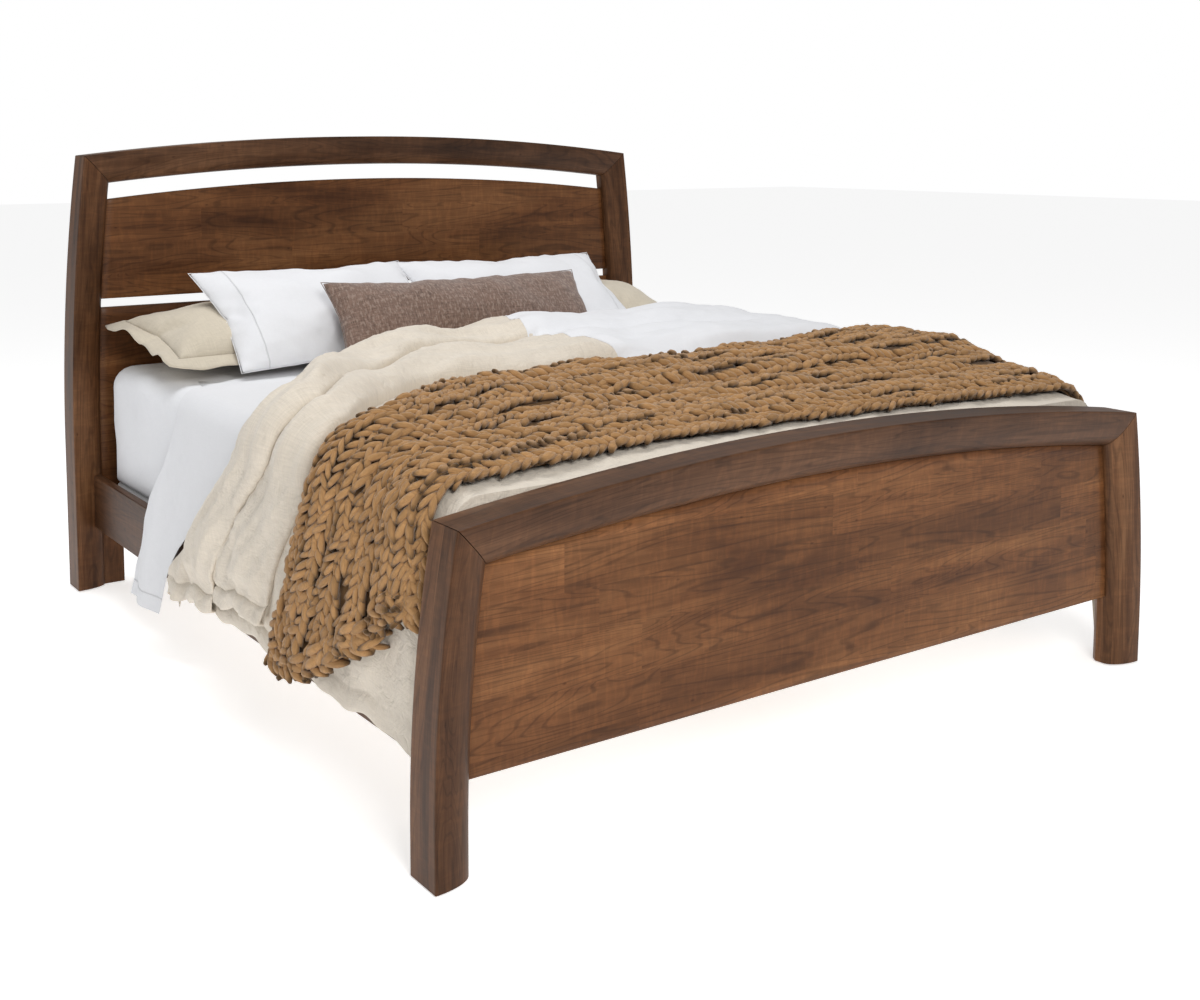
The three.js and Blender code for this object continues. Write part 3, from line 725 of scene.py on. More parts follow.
def probe_grid(objects, s, t):
    """How high the covers already laid reach over each point of a grid."""
    above = 0.40
    trees = []
    for obj in objects:
        polygons = [tuple(face.vertices) for face in obj.data.polygons]
        trees.append(BVHTree.FromPolygons([Vector(v) for v in points_of(obj)], polygons))
    s, t = np.broadcast_arrays(s, t)
    start = lay(s, t, above)
    _, _, nx, nz = bed_section(s)
    heights = np.zeros(s.shape)
    for index in np.ndindex(s.shape):
        ray = Vector((-nx[index], 0, -nz[index]))
        hits = [tree.ray_cast(Vector(start[index]), ray, above)[3] for tree in trees]
        heights[index] = above - min([hit for hit in hits if hit is not None], default=above)
    return heights


def pad_axis(grid, reach, axis):
    return np.pad(grid, [(reach, reach) if a == axis else (0, 0) for a in (0, 1)], mode="edge")


def soften(grid, reach):
    """Evens a grid out over a few cells, both ways."""
    kernel = np.hanning(2 * reach + 3)[1:-1]
    kernel /= kernel.sum()
    for axis in (0, 1):
        grid = np.apply_along_axis(lambda line: np.convolve(line, kernel, "valid"), axis,
                                   pad_axis(grid, reach, axis))
    return grid


def spread_peaks(grid, reach):
    """Each cell takes the greatest height within reach cells."""
    for axis in (0, 1):
        padded, size = pad_axis(grid, reach, axis), grid.shape[axis]
        grid = np.max([np.take(padded, range(k, k + size), axis) for k in range(2 * reach + 1)], 0)
    return grid


def cloth_coords(s, t, hem=1.0):
    return np.stack(np.broadcast_arrays(s, t, hem), -1)


# ---- mattress
def mattress_outline():
    """Points round the mattress seen from above, and which way is out at each of them."""
    corner, per_side = 0.075, 60
    x, (y0, y1) = MATTRESS_HALF - corner, MATTRESS_Y
    centres = [(x, y1 - corner), (-x, y1 - corner), (-x, y0 + corner), (x, y0 + corner)]
    steps = [(90 * i / 8, 0) for i in range(9)] + [(90, i / per_side) for i in range(1, per_side)]
    points, normals = [], []
    for index, (cx, cy) in enumerate(centres):
        next_x, next_y = centres[(index + 1) % 4]
        for degrees, share in steps:
            a = math.radians(90 * index + degrees)
            normals.append((math.cos(a), math.sin(a)))
            points.append((cx + (next_x - cx) * share + corner * math.cos(a),
                           cy + (next_y - cy) * share + corner * math.sin(a)))
    return np.array(points), np.array(normals)


def mattress_levels(low, high, ease):
    """Rings from the bottom edge to the middle of the top: (how far in, how high)."""
    quarter = [math.pi / 2 * i / 6 for i in range(7)]
    small = 0.3 * ease
    levels = [(small * (1 - math.sin(a)), low + small * (1 - math.cos(a))) for a in quarter]
    levels += [(0.0, low + ease + (high - low - 2 * ease) * i / 9) for i in range(1, 9)]
    levels += [(ease * (1 - math.sin(a)), high - ease * (1 - math.cos(a))) for a in quarter[::-1]]
    return levels + [(shrink, high) for shrink in (0.12, 0.22, 0.36, 0.52, 0.70, 0.88)]


def make_mattress(name, low, high, ease, material):
    outline, normals = mattress_outline()
    along = distances(outline)
    rings, coords = [], []
    for shrink, z in mattress_levels(low, high, ease):
        wave = 0.0022 * ripples(along, np.full_like(along, z), 0.30, 31, 6)
        wave += 0.0012 * ripples(along, np.full_like(along, z * 2), 0.09, 32, 6)
        lift = 0.0 if shrink < 0.05 else 0.0012 * math.sin(shrink * 30)
        pull = max(0.0, 1 - shrink / 0.1)
        points = outline - normals * (shrink - wave[:, None] * pull)
        rings.append([(x, y, z + lift) for x, y in points])
        coords += [(a, z + shrink, 1) for a in along]
    obj = make_object(name, *stack_rings(rings), material, sharp=None)
    face_outwards(obj.data)
    set_vectors(obj, "cloth", coords)
    return obj


def build_mattress():
    for name, low, high, ease, node, material in (
        ("mattress_cover", SHEET_REACH, MATTRESS_TOP, SHOULDER, "mattress", WHITE),
        ("foundation_cover", FOUNDATION_BOTTOM, SHEET_REACH - FIT, 0.016, "foundation",
         FOUNDATION_CLOTH),
    ):
        obj = make_mattress(name, low, high, ease, material)
        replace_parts(obj, node)


# ---- duvet and sheets
def hem_rows(end):
    """Places across the bed from -end to end, close together at both hems."""
    hem = np.array([0, 0.003, 0.006, 0.010, 0.016, 0.024, 0.032, DUVET_BAND - 0.004, DUVET_BAND,
                    DUVET_BAND + 0.004, DUVET_BAND + 0.012, DUVET_BAND + 0.022])
    middle = end - hem[-1] - 0.01
    return np.concatenate([-end + hem, np.linspace(-middle, middle, 200), (end - hem)[::-1]])


def hem_profile(s, end):
    """How much of its loft the duvet has near its hem: a flat band, a stitched dip, then full."""
    d = end - np.abs(s)
    edge = smooth_step(d, -0.004, 0.006)
    flat = 0.16 + 0.10 * np.sin(np.clip(d / DUVET_BAND, 0, 1) * math.pi)
    loft = smooth_step(d, DUVET_BAND, DUVET_BAND + 0.07)
    dip = 1 - 0.55 * np.exp(-((d - DUVET_BAND) / 0.004) ** 2)
    return (flat * (1 - loft) + loft) * edge * dip


def tuck_foot(points, limit):
    """Turns the part past the mattress's foot end straight down."""
    past = np.maximum(limit - points[..., 1], 0)
    points[..., 1] = np.maximum(points[..., 1], limit)
    points[..., 2] -= past
    return points


def build_lower_duvet():
    """The duvet's lower layer, from the foot of the bed to under its folds."""
    s = hem_rows(LOWER_HEM)[:, None]
    reach = np.minimum(FOLD_EDGE(s) - 0.070 - DUVET_FOOT, 1.26)
    t = np.concatenate([np.linspace(-0.16, -0.01, 9), np.linspace(0, 0.04, 7)])[None, :] + 0 * s
    t = np.concatenate([t, 0.05 + (reach - 0.05) * np.linspace(0, 1, 140)[None, :]], 1) + DUVET_FOOT
    top = 0.004 + (duvet_height(s, t) - 0.004) * hem_profile(s, LOWER_HEM)
    low = np.minimum(0.0022 + side_folds(s, t, 0.010) * 0.9, top - 0.002)
    uneven = 0.006 * np.sin(t * 21) + 0.004 * np.sin(t * 47 + 1)
    wave_s = s - np.sign(s) * uneven * smooth_step(np.abs(s), 1.2, 1.42)
    outer = tuck_foot(lay(wave_s, t, top), DUVET_FOOT)
    inner = tuck_foot(lay(wave_s, t, np.maximum(low, 0.0015)), DUVET_FOOT + 0.008)
    lower = skin("duvet_lower", outer, inner, OAT, cloth_coords(s, t))
    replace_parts(lower, "duvet")
    return lower


# The folded-back layers in section, from their foot side to their head side. Each point is
# (which edge it is measured from, offset along the bed, share of the way to the next edge, height).
FOLD_SECTION = [
    ("b", 0.050, 0.0, 0.012), ("b", 0.014, 0.0, 0.016), ("b", -0.012, 0.0, 0.030),
    ("b", -0.028, 0.0, 0.056), ("b", -0.028, 0.0, 0.082), ("b", -0.008, 0.0, 0.103),
    ("b", 0.030, 0.0, 0.116), ("b", 0.0, 0.40, 0.122), ("b", 0.0, 0.62, 0.114),
    ("a", -0.036, 0.0, 0.090), ("a", 0.000, 0.0, 0.062), ("a", 0.016, 0.0, 0.044),
    ("a", 0.002, 0.0, 0.058), ("a", -0.032, 0.0, 0.086), ("a", -0.028, 0.0, 0.116),
    ("a", 0.008, 0.0, 0.136), ("a", 0.060, 0.0, 0.138), ("a", 0.0, 0.38, 0.130),
    ("a", 0.0, 0.56, 0.114), ("a", 0.0, 0.72, 0.098), ("a", 0.0, 0.85, 0.080),
    ("e", -0.012, 0.0, 0.062), ("e", 0.004, 0.0, 0.046), ("e", 0.006, 0.0, 0.032),
    ("e", -0.006, 0.0, 0.018), ("e", -0.050, 0.0, 0.014),
]


def spline_rows(values, count):
    """Catmull-Rom through the first axis of values, sampled evenly by index."""
    n = len(values)
    u = np.linspace(0, n - 1, count)
    i = np.clip(u.astype(int), 0, n - 2)
    f = (u - i).reshape(-1, *([1] * (values.ndim - 1)))
    p0 = values[np.maximum(i - 1, 0)]
    p1 = values[i]
    p2 = values[i + 1]
    p3 = values[np.minimum(i + 2, n - 1)]
    return 0.5 * (2 * p1 + (p2 - p0) * f + (2 * p0 - 5 * p1 + 4 * p2 - p3) * f ** 2
                  + (3 * p1 - p0 - 3 * p2 + p3) * f ** 3)


def fold_rows():
    """The folds as rows of (across, along, height, where the row's hem lies), evenly smoothed."""
    ends = np.linspace(1.325, 1.455, len(FOLD_SECTION))
    s_unit = np.concatenate([np.linspace(-1, -0.93, 16)[:-1], np.linspace(-0.93, 0.93, 230),
                             np.linspace(0.93, 1, 16)[1:]])
    rows = []
    for (anchor, offset, share, height), end in zip(FOLD_SECTION, ends):
        s = s_unit * end
        lines = {"b": CREASE_2(s), "a": CREASE_1(s), "e": FOLD_EDGE(s)}
        following = {"b": "a", "a": "e", "e": "e"}[anchor]
        t = lines[anchor] + offset + share * (lines[following] - lines[anchor])
        rows.append((s, t, np.full_like(s, height), np.full_like(s, end)))
    return [spline_rows(column, 150) for column in np.array(rows).transpose(1, 0, 2)]


def build_fold():
    """The duvet's two rolls, folded back over its lower layer. plain is a flat layer's height."""
    plain = 0.046
    s, t, h, end = fold_rows()
    side = hang(s)
    loft = hem_profile(s, end)
    thin = 1 - 0.50 * smooth_step(np.abs(s), 0.76, 1.04)
    flow = t - 0.5 * (CREASE_1(s) + CREASE_2(s))
    puff = 1 + 0.14 * ripples(s * 0.9, flow, 0.30, 41) + 0.10 * ripples(s * 0.4, flow, 0.085, 42)
    fine = 0.0016 * ripples(s, t, 0.045, 43, 9)
    fine += 0.0046 * ripples(s * 0.30, flow, 0.055, 44) * (0.4 + side)
    base = plain * (1 - 0.3 * side) + side_folds(s, t, 0.010)
    rise = np.maximum(h - plain, 0) * thin * puff * (0.25 + 0.75 * loft)
    dip = 0.0036 * np.exp(-((end - np.abs(s) - DUVET_BAND) / 0.004) ** 2)
    top = base * np.clip(h / plain, 0, 1) + rise + fine - dip
    under = np.maximum(np.minimum(base * 0.9 + 0.002, top - 0.003), 0.006)
    uneven = 0.007 * np.sin(t * 24 + 0.5) + 0.005 * np.sin(t * 61)
    wave_s = s - np.sign(s) * uneven * smooth_step(np.abs(s), 1.15, 1.42)
    fold = skin("duvet_fold", lay(wave_s, t, top), lay(wave_s, t, under), OAT,
                cloth_coords(s, t + 0.01 * h))
    return fold


def build_sheets():
    """The part of the flat sheet that comes out from under the duvet."""
    end = 1.515
    s = np.linspace(-end, end, 330)[:, None]
    far = SHEET_EDGE(s)
    near = far - 0.58 + 0.36 * hang(s)
    t = near + (far - near) * np.linspace(0, 1, 46)[None, :]
    fold = side_folds(s, t, 0.014, 0.17, 51) + 0.0018 * ripples(s, t, 0.09, 52)
    lift = np.maximum(0.004 + fold + 0.010 * hang(s), 0.0062)
    sheet = skin("flat_sheet_cloth", lay(s, t, lift), lay(s, t, lift - 0.0014), SATIN_WHITE,
                 cloth_coords(s, t, end - np.abs(s) + 0.05))
    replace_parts(sheet, "flat_sheet")


def build_turned_sheet(below):
    """The flat sheet's top, turned back over the duvet's folds on the right of the bed."""
    u = np.linspace(0, 1, 150)[:, None]
    v = np.linspace(0, 1, 140)[None, :]
    t_front = -0.265 + 0.018 * np.sin(u * 9)
    t = t_front + (0.74 - t_front) * v
    left = np.interp(t, [-0.30, -0.26, -0.18, -0.02, 0.15, 0.40, 0.80],
                     [0.40, 0.22, 0.12, 0.03, 0.00, 0.06, 0.22])
    s = left + (1.38 - left) * u
    touching = probe_grid(below, s, t)
    h = soften(spread_peaks(touching, 2), 4)
    h = h + 0.0022 + 0.0024 * (1 + ripples(s * 0.5 + t * 0.3, t - s * 0.4, 0.14, 61, 6))
    h = h + 0.0010 * ripples(s, t, 0.045, 62, 8)
    inside = smooth_step(np.minimum(u, v), 0.0, 0.045)
    h = np.maximum(touching + 0.0018, h * inside + touching * (1 - inside))
    turned = skin("flat_sheet_turnback", lay(s, t, h), lay(s, t, h - 0.0016), SATIN_WHITE,
                  cloth_coords(s, t, t - t_front))


# ---- knitted throw
COLUMNS = 22
STITCH = 0.0265
# A column's usual width, and its narrowest and widest where the throw is gathered or spread.
COLUMN_WIDTH = 0.032
COLUMN_RANGE = (0.023, 0.038)
YARN_RADIUS = 0.0088
THROW_RIGHT = 1.34
# The height of the covers under the throw, which measure_throw_base fills in.
throw_base = {}


def throw_hem(v):
    """How far the throw hangs at its left end, from its near edge (v=0) to its far edge (v=1)."""
    return np.interp(v, [0, 0.15, 0.3, 0.45, 0.6, 0.8, 1.0], [1.17, 1.17, 1.25, 1.29, 1.36, 1.385, 1.39])


def rope_phase(s, v):
    """The throw is bunched into five and a half ropes, which wander a little."""
    drift = 0.8 * np.sin(s * 2.3 + 0.6) + 0.5 * np.sin(s * 5.1) + 0.35 * np.sin(s * 11.3 + v * 5)
    return 2 * math.pi * v * 5.5 + drift


def throw_along(s, v):
    """Where along the bed the throw lies."""
    near, far = THROW_NEAR(s), THROW_FAR(s)
    return near + (far - near) * (v + 0.015 * np.sin(rope_phase(s, v) + 0.8))


def measure_throw_base(below):
    """Records the height of the covers under the throw, which then rests on them."""
    s = np.linspace(-1.45, 1.45, 240)
    v = np.linspace(-0.06, 1.06, 60)
    grid = probe_grid(below, s[:, None], throw_along(s[:, None], v[None, :]))
    throw_base.update(s=s, v=v, h=soften(spread_peaks(grid, 1), 3))


def base_height(s, v):
    """The recorded height, read between its grid points."""
    ss, vv, grid = throw_base["s"], throw_base["v"], throw_base["h"]
    i = np.clip((s - ss[0]) / (ss[1] - ss[0]), 0, len(ss) - 1.001)
    j = np.clip((v - vv[0]) / (vv[1] - vv[0]), 0, len(vv) - 1.001)
    i, j = np.broadcast_arrays(i, j)
    a, b = i.astype(int), j.astype(int)
    f, g = i - a, j - b
    low = grid[a, b] * (1 - g) + grid[a, b + 1] * g
    high = grid[a + 1, b] * (1 - g) + grid[a + 1, b + 1] * g
    return low * (1 - f) + high * f


def throw_point(s, v):
    """A point on the middle of the throw's thickness. Where it is gathered it stands up more."""
    t = throw_along(s, v)
    slack = np.clip(0.80 - (THROW_FAR(s) - THROW_NEAR(s)), 0.05, 0.42)
    ridge = np.abs(np.cos(rope_phase(s, v) / 2)) ** 0.7
    rope = np.abs(np.sin(math.pi * v * COLUMNS / 2)) ** 0.6
    big = 0.5 + 0.5 * np.sin(2 * math.pi * v * 1.7 + 1.3 + 1.1 * np.sin(s * 1.9))
    near_foot = smooth_step(t, -0.95, -0.55)
    lift = (0.016 + slack * 0.075) * ridge + 0.014 * rope + (0.003 + 0.020 * near_foot) * big
    lift = lift + 0.004 * ripples(s, t, 0.22, 71) + 0.014 * smooth_step(s, 0.45, 0.9) * (1 - hang(s))
    settle = (0.25 + 0.75 * smooth_step(np.minimum(v, 1 - v), 0.0, 0.09)) * (1 - 0.24 * hang(s))
    return lay(s, t, base_height(s, v) + 0.011 + lift * (0.55 + 0.45 * near_foot) * settle)


def throw_frames(s, v):
    """Points on the throw with their outward directions."""
    d = 0.002
    along = unit(throw_point(s + d, v) - throw_point(s - d, v))
    across = throw_point(s, v + d) - throw_point(s, v - d)
    across = unit(across - along * np.sum(along * across, -1, keepdims=True))
    return throw_point(s, v), np.cross(along, across)


def stitch_leg():
    """One plump strand of a stitch, lying along x: its points, faces and yarn coordinates."""
    sides, rings = 7, 6
    points, coords = [], []
    for i in range(rings):
        f = i / (rings - 1)
        swell = 0.5 * math.sin(math.pi * (0.10 + 0.80 * f)) ** 0.7
        lift = 0.36 * math.sin(math.pi * f) - 0.30 * f
        bend = 0.12 * math.cos(math.pi * f)
        for k in range(sides):
            a = 2 * math.pi * k / sides
            height = lift + swell * math.sin(a)
            points.append((f - 0.5, bend + swell * math.cos(a), height))
            # The second yarn coordinate is how high in the strand a point lies; the yarn's colour is
            # darker low down as painted shade.
            coords.append((f, min(1, max(0, 0.42 + height)), 0))
    faces = grid_faces(rings, sides, 0, True)
    faces += [list(range(sides))[::-1], [(rings - 1) * sides + k for k in range(sides)]]
    return np.array(points), faces, np.array(coords)


class Knitting:
    """Gathers strands along paths over the throw, then makes them one piece."""

    def __init__(self, seed):
        self.leg, self.leg_faces, self.leg_coords = stitch_leg()
        self.rng = np.random.default_rng(seed)
        self.verts, self.yarn, self.faces, self.count = [], [], [], 0

    def strands(self, centre, along, out, length, wide, thick, tilt):
        """Lays one strand at each centre, turned by tilt from the path."""
        across = np.cross(out, along)
        turn, rise = np.cos(tilt)[:, None], np.sin(tilt)[:, None]
        axes = ((along * turn + across * rise, length), (across * turn - along * rise, wide),
                (out, thick))
        points = centre[:, None]
        for k, (direction, size) in enumerate(axes):
            points = points + direction[:, None] * self.leg[None, :, k:k + 1] * size[:, None, None]
        for block, shade in zip(points, self.rng.uniform(0, 1, len(centre))):
            self.verts.append(block)
            self.yarn.append(self.leg_coords + [0, 0, shade])
            self.faces += [[k + self.count for k in face] for face in self.leg_faces]
            self.count += len(block)

    def column(self, s, v, size=1.0, lift=0.0):
        """A column of V stitches along the path (s, v), given as closely spaced arrays."""
        path = throw_point(s, v)
        run = distances(path)
        rows = max(3, int(run[-1] / (STITCH * size)))
        ticks = (np.arange(rows) + 0.5) * run[-1] / rows
        ss, vv = np.interp(ticks, run, s), np.interp(ticks, run, v)
        p, out = throw_frames(ss, vv)
        d = 0.004
        along = [np.interp(ticks + d, run, line) - np.interp(ticks - d, run, line) for line in path.T]
        along = np.stack(along, -1)
        along = unit(along - out * np.sum(along * out, -1, keepdims=True))
        across = np.cross(out, along)
        reach = 0.5 / COLUMNS
        gap = np.linalg.norm(throw_point(ss, vv + reach) - throw_point(ss, vv - reach), axis=-1)
        spread = np.clip(gap * 0.96, *COLUMN_RANGE) * size
        for hand in (-1, 1):
            scale = self.rng.normal(1, 0.09, rows) * size
            tilt = -hand * np.radians(25 + self.rng.normal(0, 8, rows))
            height = lift + self.rng.normal(0.0005, 0.0026, rows)
            stray = self.rng.normal(0, 0.0016, rows)
            centre = p + across * (hand * spread * 0.25 + stray)[:, None] + out * height[:, None]
            thick = YARN_RADIUS * 2.05 * scale
            wide = thick * spread / COLUMN_WIDTH / size
            self.strands(centre, along, out, STITCH * 2.05 * scale, wide, thick, tilt)
        return run[-1]

    def finish(self, name):
        obj = make_object(name, np.concatenate(self.verts), self.faces, YARN, sharp=None)
        set_vectors(obj, "yarn", np.concatenate(self.yarn))
        return obj


def build_throw(below):
    measure_throw_base(below)
    panels = [Knitting(77 + i) for i in range(3)]
    for column in range(COLUMNS):
        v0 = (column + 0.5) / COLUMNS
        s = np.linspace(-float(throw_hem(v0)), THROW_RIGHT, 900)
        wander = 0.008 * np.sin(s * 9 + column * 1.7) + 0.005 * np.sin(s * 21 + column * 2.9)
        panels[column * len(panels) // COLUMNS].column(s, v0 + wander)
    pieces = [panel.finish(f"knit_throw_stitches_{i + 1}") for i, panel in enumerate(panels)]
    pieces.append(build_throw_border())
    back = build_throw_shade_sheet()


def build_throw_border():
    """Two rows of stitches along each end and one along each long side."""
    border = Knitting(90)
    v = np.linspace(0.0, 1.0, 400)
    for inset in (0.004, 0.032):
        border.column(-throw_hem(v) + inset, v, 1.12, 0.004)
        border.column(THROW_RIGHT - inset + 0 * v, v, 1.12, 0.004)
    for edge, place, pitch in ((0, 0.004, 31), (1, 0.996, 29)):
        s = np.linspace(-float(throw_hem(edge)), THROW_RIGHT, 900)
        border.column(s, place + 0.003 * np.sin(s * pitch), 1.0, 0.002)
    return border.finish("knit_throw_border")


def build_throw_shade_sheet():
    """A darker copy of the yarn under the knitting, seen between its stitches: painted shade in the gaps.
    """
    u = np.linspace(0, 1, 220)[:, None]
    v = np.linspace(0.004, 0.996, 100)[None, :]
    s = -throw_hem(v) + (THROW_RIGHT + throw_hem(v)) * u
    mid, out = throw_frames(s, v + 0 * s)
    back = skin("knit_throw_shade_sheet", mid - out * 0.006, mid - out * 0.0105, YARN_SHADE_SHEET)
    set_vectors(back, "yarn", [(0.5, 0.7, 0.5)] * len(back.data.vertices))
    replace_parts(back, "knit_throw")
    return back


# ---- pillows
# place is the pillow's middle; tilt, turn and roll are degrees about X, Z and Y.
Pillow = namedtuple("Pillow", "name node width height thick material place tilt turn roll flange")
SHAM = (0.84, 0.44, 0.205, BEIGE)
PILLOWS = [
    Pillow("flanged_left", "flanged_pillow_left", *SHAM, (-0.500, 0.782, 0.785), 9, 2, 1, 0.045),
    Pillow("flanged_right", "flanged_pillow_right", *SHAM, (0.490, 0.782, 0.785), 9, -2, -1, 0.045),
    Pillow("white_left", "white_pillow_left", 0.735, 0.47, 0.170, SATIN_WHITE,
           (-0.400, 0.665, 0.845), 34, 1.0, 0, 0),
    Pillow("white_right", "white_pillow_right", 0.78, 0.47, 0.170, SATIN_WHITE,
           (0.315, 0.665, 0.845), 34, -1.0, 0, 0),
    Pillow("lumbar", "lumbar_pillow", 0.92, 0.270, 0.155, TWEED,
           (-0.020, 0.470, 0.845), 50, 0.5, 0.5, 0),
]
FILL_FRAMES = 24


def points_of(obj):
    co = np.zeros(len(obj.data.vertices) * 3)
    obj.data.vertices.foreach_get("co", co)
    return co.reshape(-1, 3)


def pillow_blank(pillow, seed):
    """Two cloths joined round their edge, slightly domed, in their own frame."""
    nx, ny = int(pillow.width / 0.0125) | 1, int(pillow.height / 0.0125) | 1
    u, v = np.meshgrid(np.linspace(-1, 1, nx), np.linspace(-1, 1, ny), indexing="ij")
    x = u * pillow.width / 2 * (1 - 0.02 * (1 - v ** 2) * np.abs(u) ** 3)
    y = v * pillow.height / 2 * (1 - 0.02 * (1 - u ** 2) * np.abs(v) ** 3)
    dome = ((1 - u ** 4) * (1 - v ** 4)) ** 0.62
    z = pillow.thick * 0.72 / 2 * dome * (1 + 0.05 * ripples(x, y, 0.2, seed))
    verts = list(np.stack([x, y, z], -1).reshape(-1, 3))
    loop = edge_loop(nx, ny)
    on_edge = set(loop)
    below = []
    for i in range(nx * ny):
        below.append(i if i in on_edge else len(verts))
        if i not in on_edge:
            verts.append(verts[i] * [1, 1, -1])
    faces = [f[::-1] for f in grid_faces(nx, ny)]
    faces += [[below[i] for i in f] for f in grid_faces(nx, ny)]
    obj = make_object(f"{pillow.name}_cushion", verts, faces, pillow.material, body=None, sharp=None)
    face_outwards(obj.data)
    # The white pillows have a stitched hem at the end nearer the side of the bed.
    outer_side = -1 if "left" in pillow.name else 1
    hemmed = pillow.material is SATIN_WHITE
    set_vectors(obj, "cloth", [(x, y, pillow.width / 2 - abs(x) if hemmed and x * outer_side > 0 else 1)
                               for x, y, _ in verts])
    return obj, loop


def add_pressure(obj, pressure):
    """Fills a blank like a balloon. Gravity and collisions are off."""
    cloth = obj.modifiers.new("fill", "CLOTH")
    for key, value in (("quality", 6), ("mass", 0.25), ("tension_stiffness", 18),
                       ("compression_stiffness", 18), ("shear_stiffness", 8), ("bending_stiffness", 0.35),
                       ("air_damping", 4), ("use_pressure", True), ("uniform_pressure_force", pressure)):
        setattr(cloth.settings, key, value)
    cloth.settings.effector_weights.gravity = 0
    cloth.point_cache.frame_start = 1
    cloth.point_cache.frame_end = FILL_FRAMES
    cloth.collision_settings.use_collision = False
    cloth.collision_settings.use_self_collision = False


def apply_cloth(objects):
    """Steps all the fillings together, then keeps each result as its mesh."""
    scene = bpy.context.scene
    for f in range(1, FILL_FRAMES + 1):
        scene.frame_set(f)
    depsgraph = bpy.context.evaluated_depsgraph_get()
    for obj in objects:
        result = bpy.data.meshes.new_from_object(obj.evaluated_get(depsgraph))
        obj.modifiers.clear()
        obj.data = result
    scene.frame_set(1)


def build_pillows():
    blanks = []
    for i, pillow in enumerate(PILLOWS):
        obj, loop = pillow_blank(pillow, 80 + i)
        blanks.append((obj, loop, points_of(obj), pillow))
        add_pressure(obj, 2.6 if pillow.height > 0.35 else 3.2)
    apply_cloth([blank[0] for blank in blanks])
    for blank in blanks:
        finish_pillow(*blank)


def finish_pillow(obj, loop, blank, pillow):
    """Evens out the filled shape, puckers it along its seam, and puts it in its place."""
    # Filling draws the outline in, which is partly undone. The underside lies flatter.
    outline_kept, underside = 0.55, 0.72
    co = points_of(obj)
    co[:, :2] += (blank[:, :2] - co[:, :2]) * outline_kept
    co[:, 2] *= pillow.thick / max(np.ptp(co[:, 2]), 1e-6)
    seam = co[loop]
    half_w, half_h = np.abs(co[:, 0]).max(), np.abs(co[:, 1]).max()
    edge = np.minimum(half_w - np.abs(co[:, 0]), half_h - np.abs(co[:, 1]))
    pucker = np.exp(-edge / 0.055) * smooth_step(edge, 0.0, 0.02)
    creases = ripples(co[:, 0], co[:, 1], 0.055, int(half_w * 1e4) % 97, 8)
    slow = ripples(co[:, 0], co[:, 1], 0.17, int(half_h * 1e4) % 89, 6)
    relief = 0.0060 * pucker * creases + 0.0045 * slow * smooth_step(edge, 0.0, 0.08)
    co[:, 2] += np.sign(co[:, 2]) * relief
    co[co[:, 2] < 0, 2] *= underside
    obj.data.vertices.foreach_set("co", np.asarray(co, np.float32).ravel())
    obj.data.update()
    parts = [obj]
    if pillow.flange:
        parts.append(make_flange(pillow, seam))
    parts.append(make_piping(f"{pillow.name}_seam", seam, pillow.material))
    place = Matrix.Translation(Vector(pillow.place))
    for axis, degrees in (("Z", pillow.turn), ("X", pillow.tilt), ("Y", pillow.roll)):
        place = place @ Matrix.Rotation(math.radians(degrees), 4, axis)
    for part in parts:
        part.data.transform(place)
        part.data.shade_smooth()
        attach(part, "bed")
    obj.data.materials.clear()
    obj.data.materials.append(pillow.material)
    smooth = obj.modifiers.new("fine", "SUBSURF")
    smooth.levels = smooth.render_levels = 1
    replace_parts(obj, pillow.node)


def make_flange(pillow, seam):
    """The flat border sewn outside a pillow's seam, a little wavy."""
    count = len(seam)
    thick = 0.0016
    tangent = np.roll(seam, -1, 0) - np.roll(seam, 1, 0)
    out = unit(np.stack([tangent[:, 1], -tangent[:, 0], 0 * tangent[:, 0]], -1))
    out *= np.median(np.sign(np.sum(out * (seam - seam.mean(0)), 1)))
    kernel = np.hanning(9) / np.hanning(9).sum()
    for axis in range(2):
        around = np.concatenate([out[-4:, axis], out[:, axis], out[:4, axis]])
        out[:, axis] = np.convolve(around, kernel, "valid")
    out = unit(out)
    corner = np.abs(out[:, 0] * out[:, 1]) * 2
    run = np.linspace(0, 2 * math.pi, count, endpoint=False)
    rings = []
    for f in (0.0, 0.04, 0.25, 0.5, 0.75, 1.0):
        ring = seam + out * (pillow.flange * f * (1 + 0.25 * corner))[:, None]
        ring[:, 2] += f * (0.010 * np.sin(run * 9 + 0.7) + 0.006 * np.sin(run * 17) - 0.012)
        rings.append(ring)
    top = np.concatenate(rings)
    verts = np.concatenate([top + [0, 0, thick], top - [0, 0, thick]])
    rows, layer = len(rings), len(rings) * count
    faces = grid_faces(rows, count, 0, True)
    faces += [f[::-1] for f in grid_faces(rows, count, layer, True)]
    for i in range(count):
        j = (i + 1) % count
        a, b = layer - count + i, layer - count + j
        faces.append([a, b, b + layer, a + layer])
        faces.append([i, i + layer, j + layer, j])
    obj = make_object(f"{pillow.name}_flange", verts, faces, pillow.material, body=None, sharp=None)
    set_vectors(obj, "cloth", verts * [1, 1, 0] + [0, 0, 1])
    return obj


def make_piping(name, seam, material):
    """The rolled seam round a pillow's edge."""
    count, sides, radius = len(seam), 6, 0.0013
    tangent = unit(np.roll(seam, -1, 0) - np.roll(seam, 1, 0))
    side = unit(np.cross(tangent, [0, 0, 1.0]))
    lift = np.cross(side, tangent)
    angles = [2 * math.pi * k / sides for k in range(sides)]
    rings = [seam + side * radius * math.cos(a) + lift * radius * math.sin(a) for a in angles]
    verts = np.stack(rings, 1).reshape(-1, 3)
    faces = grid_faces(count + 1, sides, 0, True)
    faces = [[i % len(verts) for i in (a, d, c, b)] for a, b, c, d in faces]
    obj = make_object(name, verts, faces, material, body=None, sharp=None)
    set_vectors(obj, "cloth", verts * [1, 1, 0] + [0, 0, 1])
    return obj


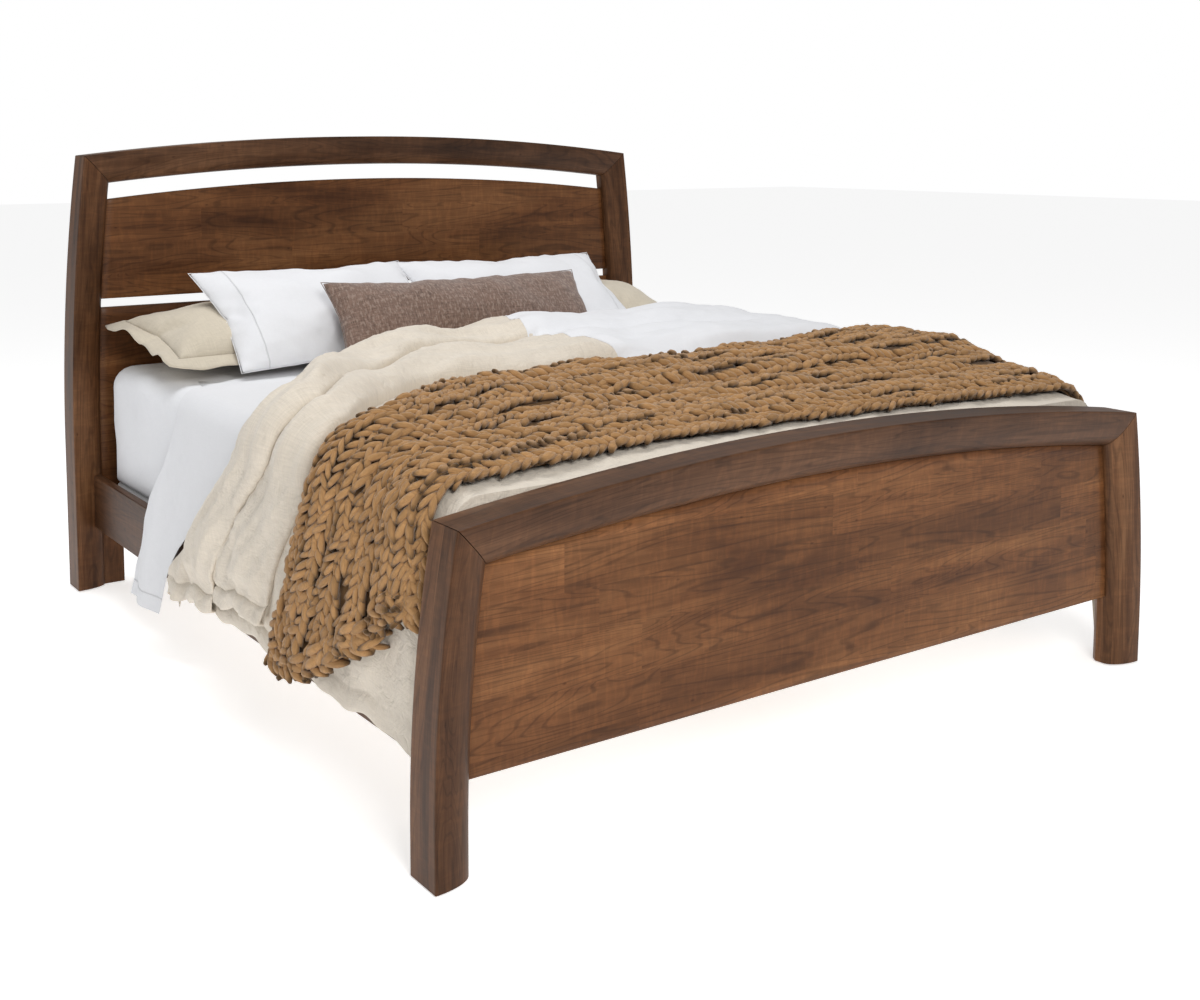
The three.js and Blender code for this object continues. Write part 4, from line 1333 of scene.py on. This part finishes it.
# ---- studio
def build_studio():
    """A pale floor with a white dome far behind it, under soft light."""
    scene = bpy.context.scene
    scene.view_settings.view_transform = "Standard"
    scene.view_settings.look = "None"
    bpy.ops.mesh.primitive_plane_add(size=60.0, location=(0, 0, 0))
    floor = bpy.context.object
    floor.name = "floor"
    shine = Graph("floor").finish(Base_Color=grey(0.92), Roughness=0.95, Specular_IOR_Level=0.1,
                                  Emission_Color=grey(1), Emission_Strength=0.54)
    floor.data.materials.append(shine)
    build_backdrop()
    world = bpy.data.worlds.new("studio")
    scene.world = world
    world.use_nodes = True
    back = world.node_tree.nodes["Background"]
    back.inputs["Color"].default_value = (1, 1, 1, 1)
    back.inputs["Strength"].default_value = 0.42
    add_area("key", (-1.5, -4.3, 2.9), (0.0, -0.1, 0.4), 1.7, 108, (1.0, 0.985, 0.96))
    add_area("fill", (4.4, -2.6, 3.0), (0.0, 0.0, 0.5), 3.0, 10, (0.97, 0.985, 1.0))
    add_area("top", (-0.6, 1.2, 4.2), (0.0, 0.0, 0.3), 2.0, 78, (1.0, 1.0, 1.0))


def build_backdrop():
    """The dome is only seen, and sheds no light on the bed."""
    bpy.ops.mesh.primitive_uv_sphere_add(segments=48, ring_count=24, radius=45.0, location=(0, 0, 0))
    dome = bpy.context.object
    dome.name = "backdrop"
    for ray in ("diffuse", "glossy", "transmission", "shadow", "volume_scatter"):
        setattr(dome, f"visible_{ray}", False)
    glow = Graph("backdrop").finish(Base_Color=grey(0), Roughness=1.0, Specular_IOR_Level=0.0,
                                    Emission_Color=grey(1), Emission_Strength=1.0)
    dome.data.materials.append(glow)


def add_area(name, place, target, size, power, colour):
    data = bpy.data.lights.new(name, "AREA")
    data.shape = "SQUARE"
    data.size = size
    data.energy = power
    data.color = colour
    light = bpy.data.objects.new(name, data)
    bpy.context.scene.collection.objects.link(light)
    light.location = place
    aim = Vector(target) - Vector(place)
    light.rotation_euler = aim.to_track_quat("-Z", "Y").to_euler()


def build_camera():
    data = bpy.data.cameras.new("camera")
    data.sensor_width = 36.0
    data.lens = 43.2
    data.shift_x = 0.0547
    data.shift_y = -0.175
    camera = bpy.data.objects.new("camera", data)
    bpy.context.scene.collection.objects.link(camera)
    camera.location = (-2.303, -3.2725, 1.356)
    camera.rotation_euler = (math.radians(90 - 5.81), 0, math.radians(-34.05))
    bpy.context.scene.camera = camera


build_camera()
build_studio()
build_frame()
dress_cad_nodes()
build_mattress()
build_sheets()
duvet_layers = [build_lower_duvet(), build_fold()]
build_turned_sheet(duvet_layers)
build_throw(duvet_layers)
build_pillows()
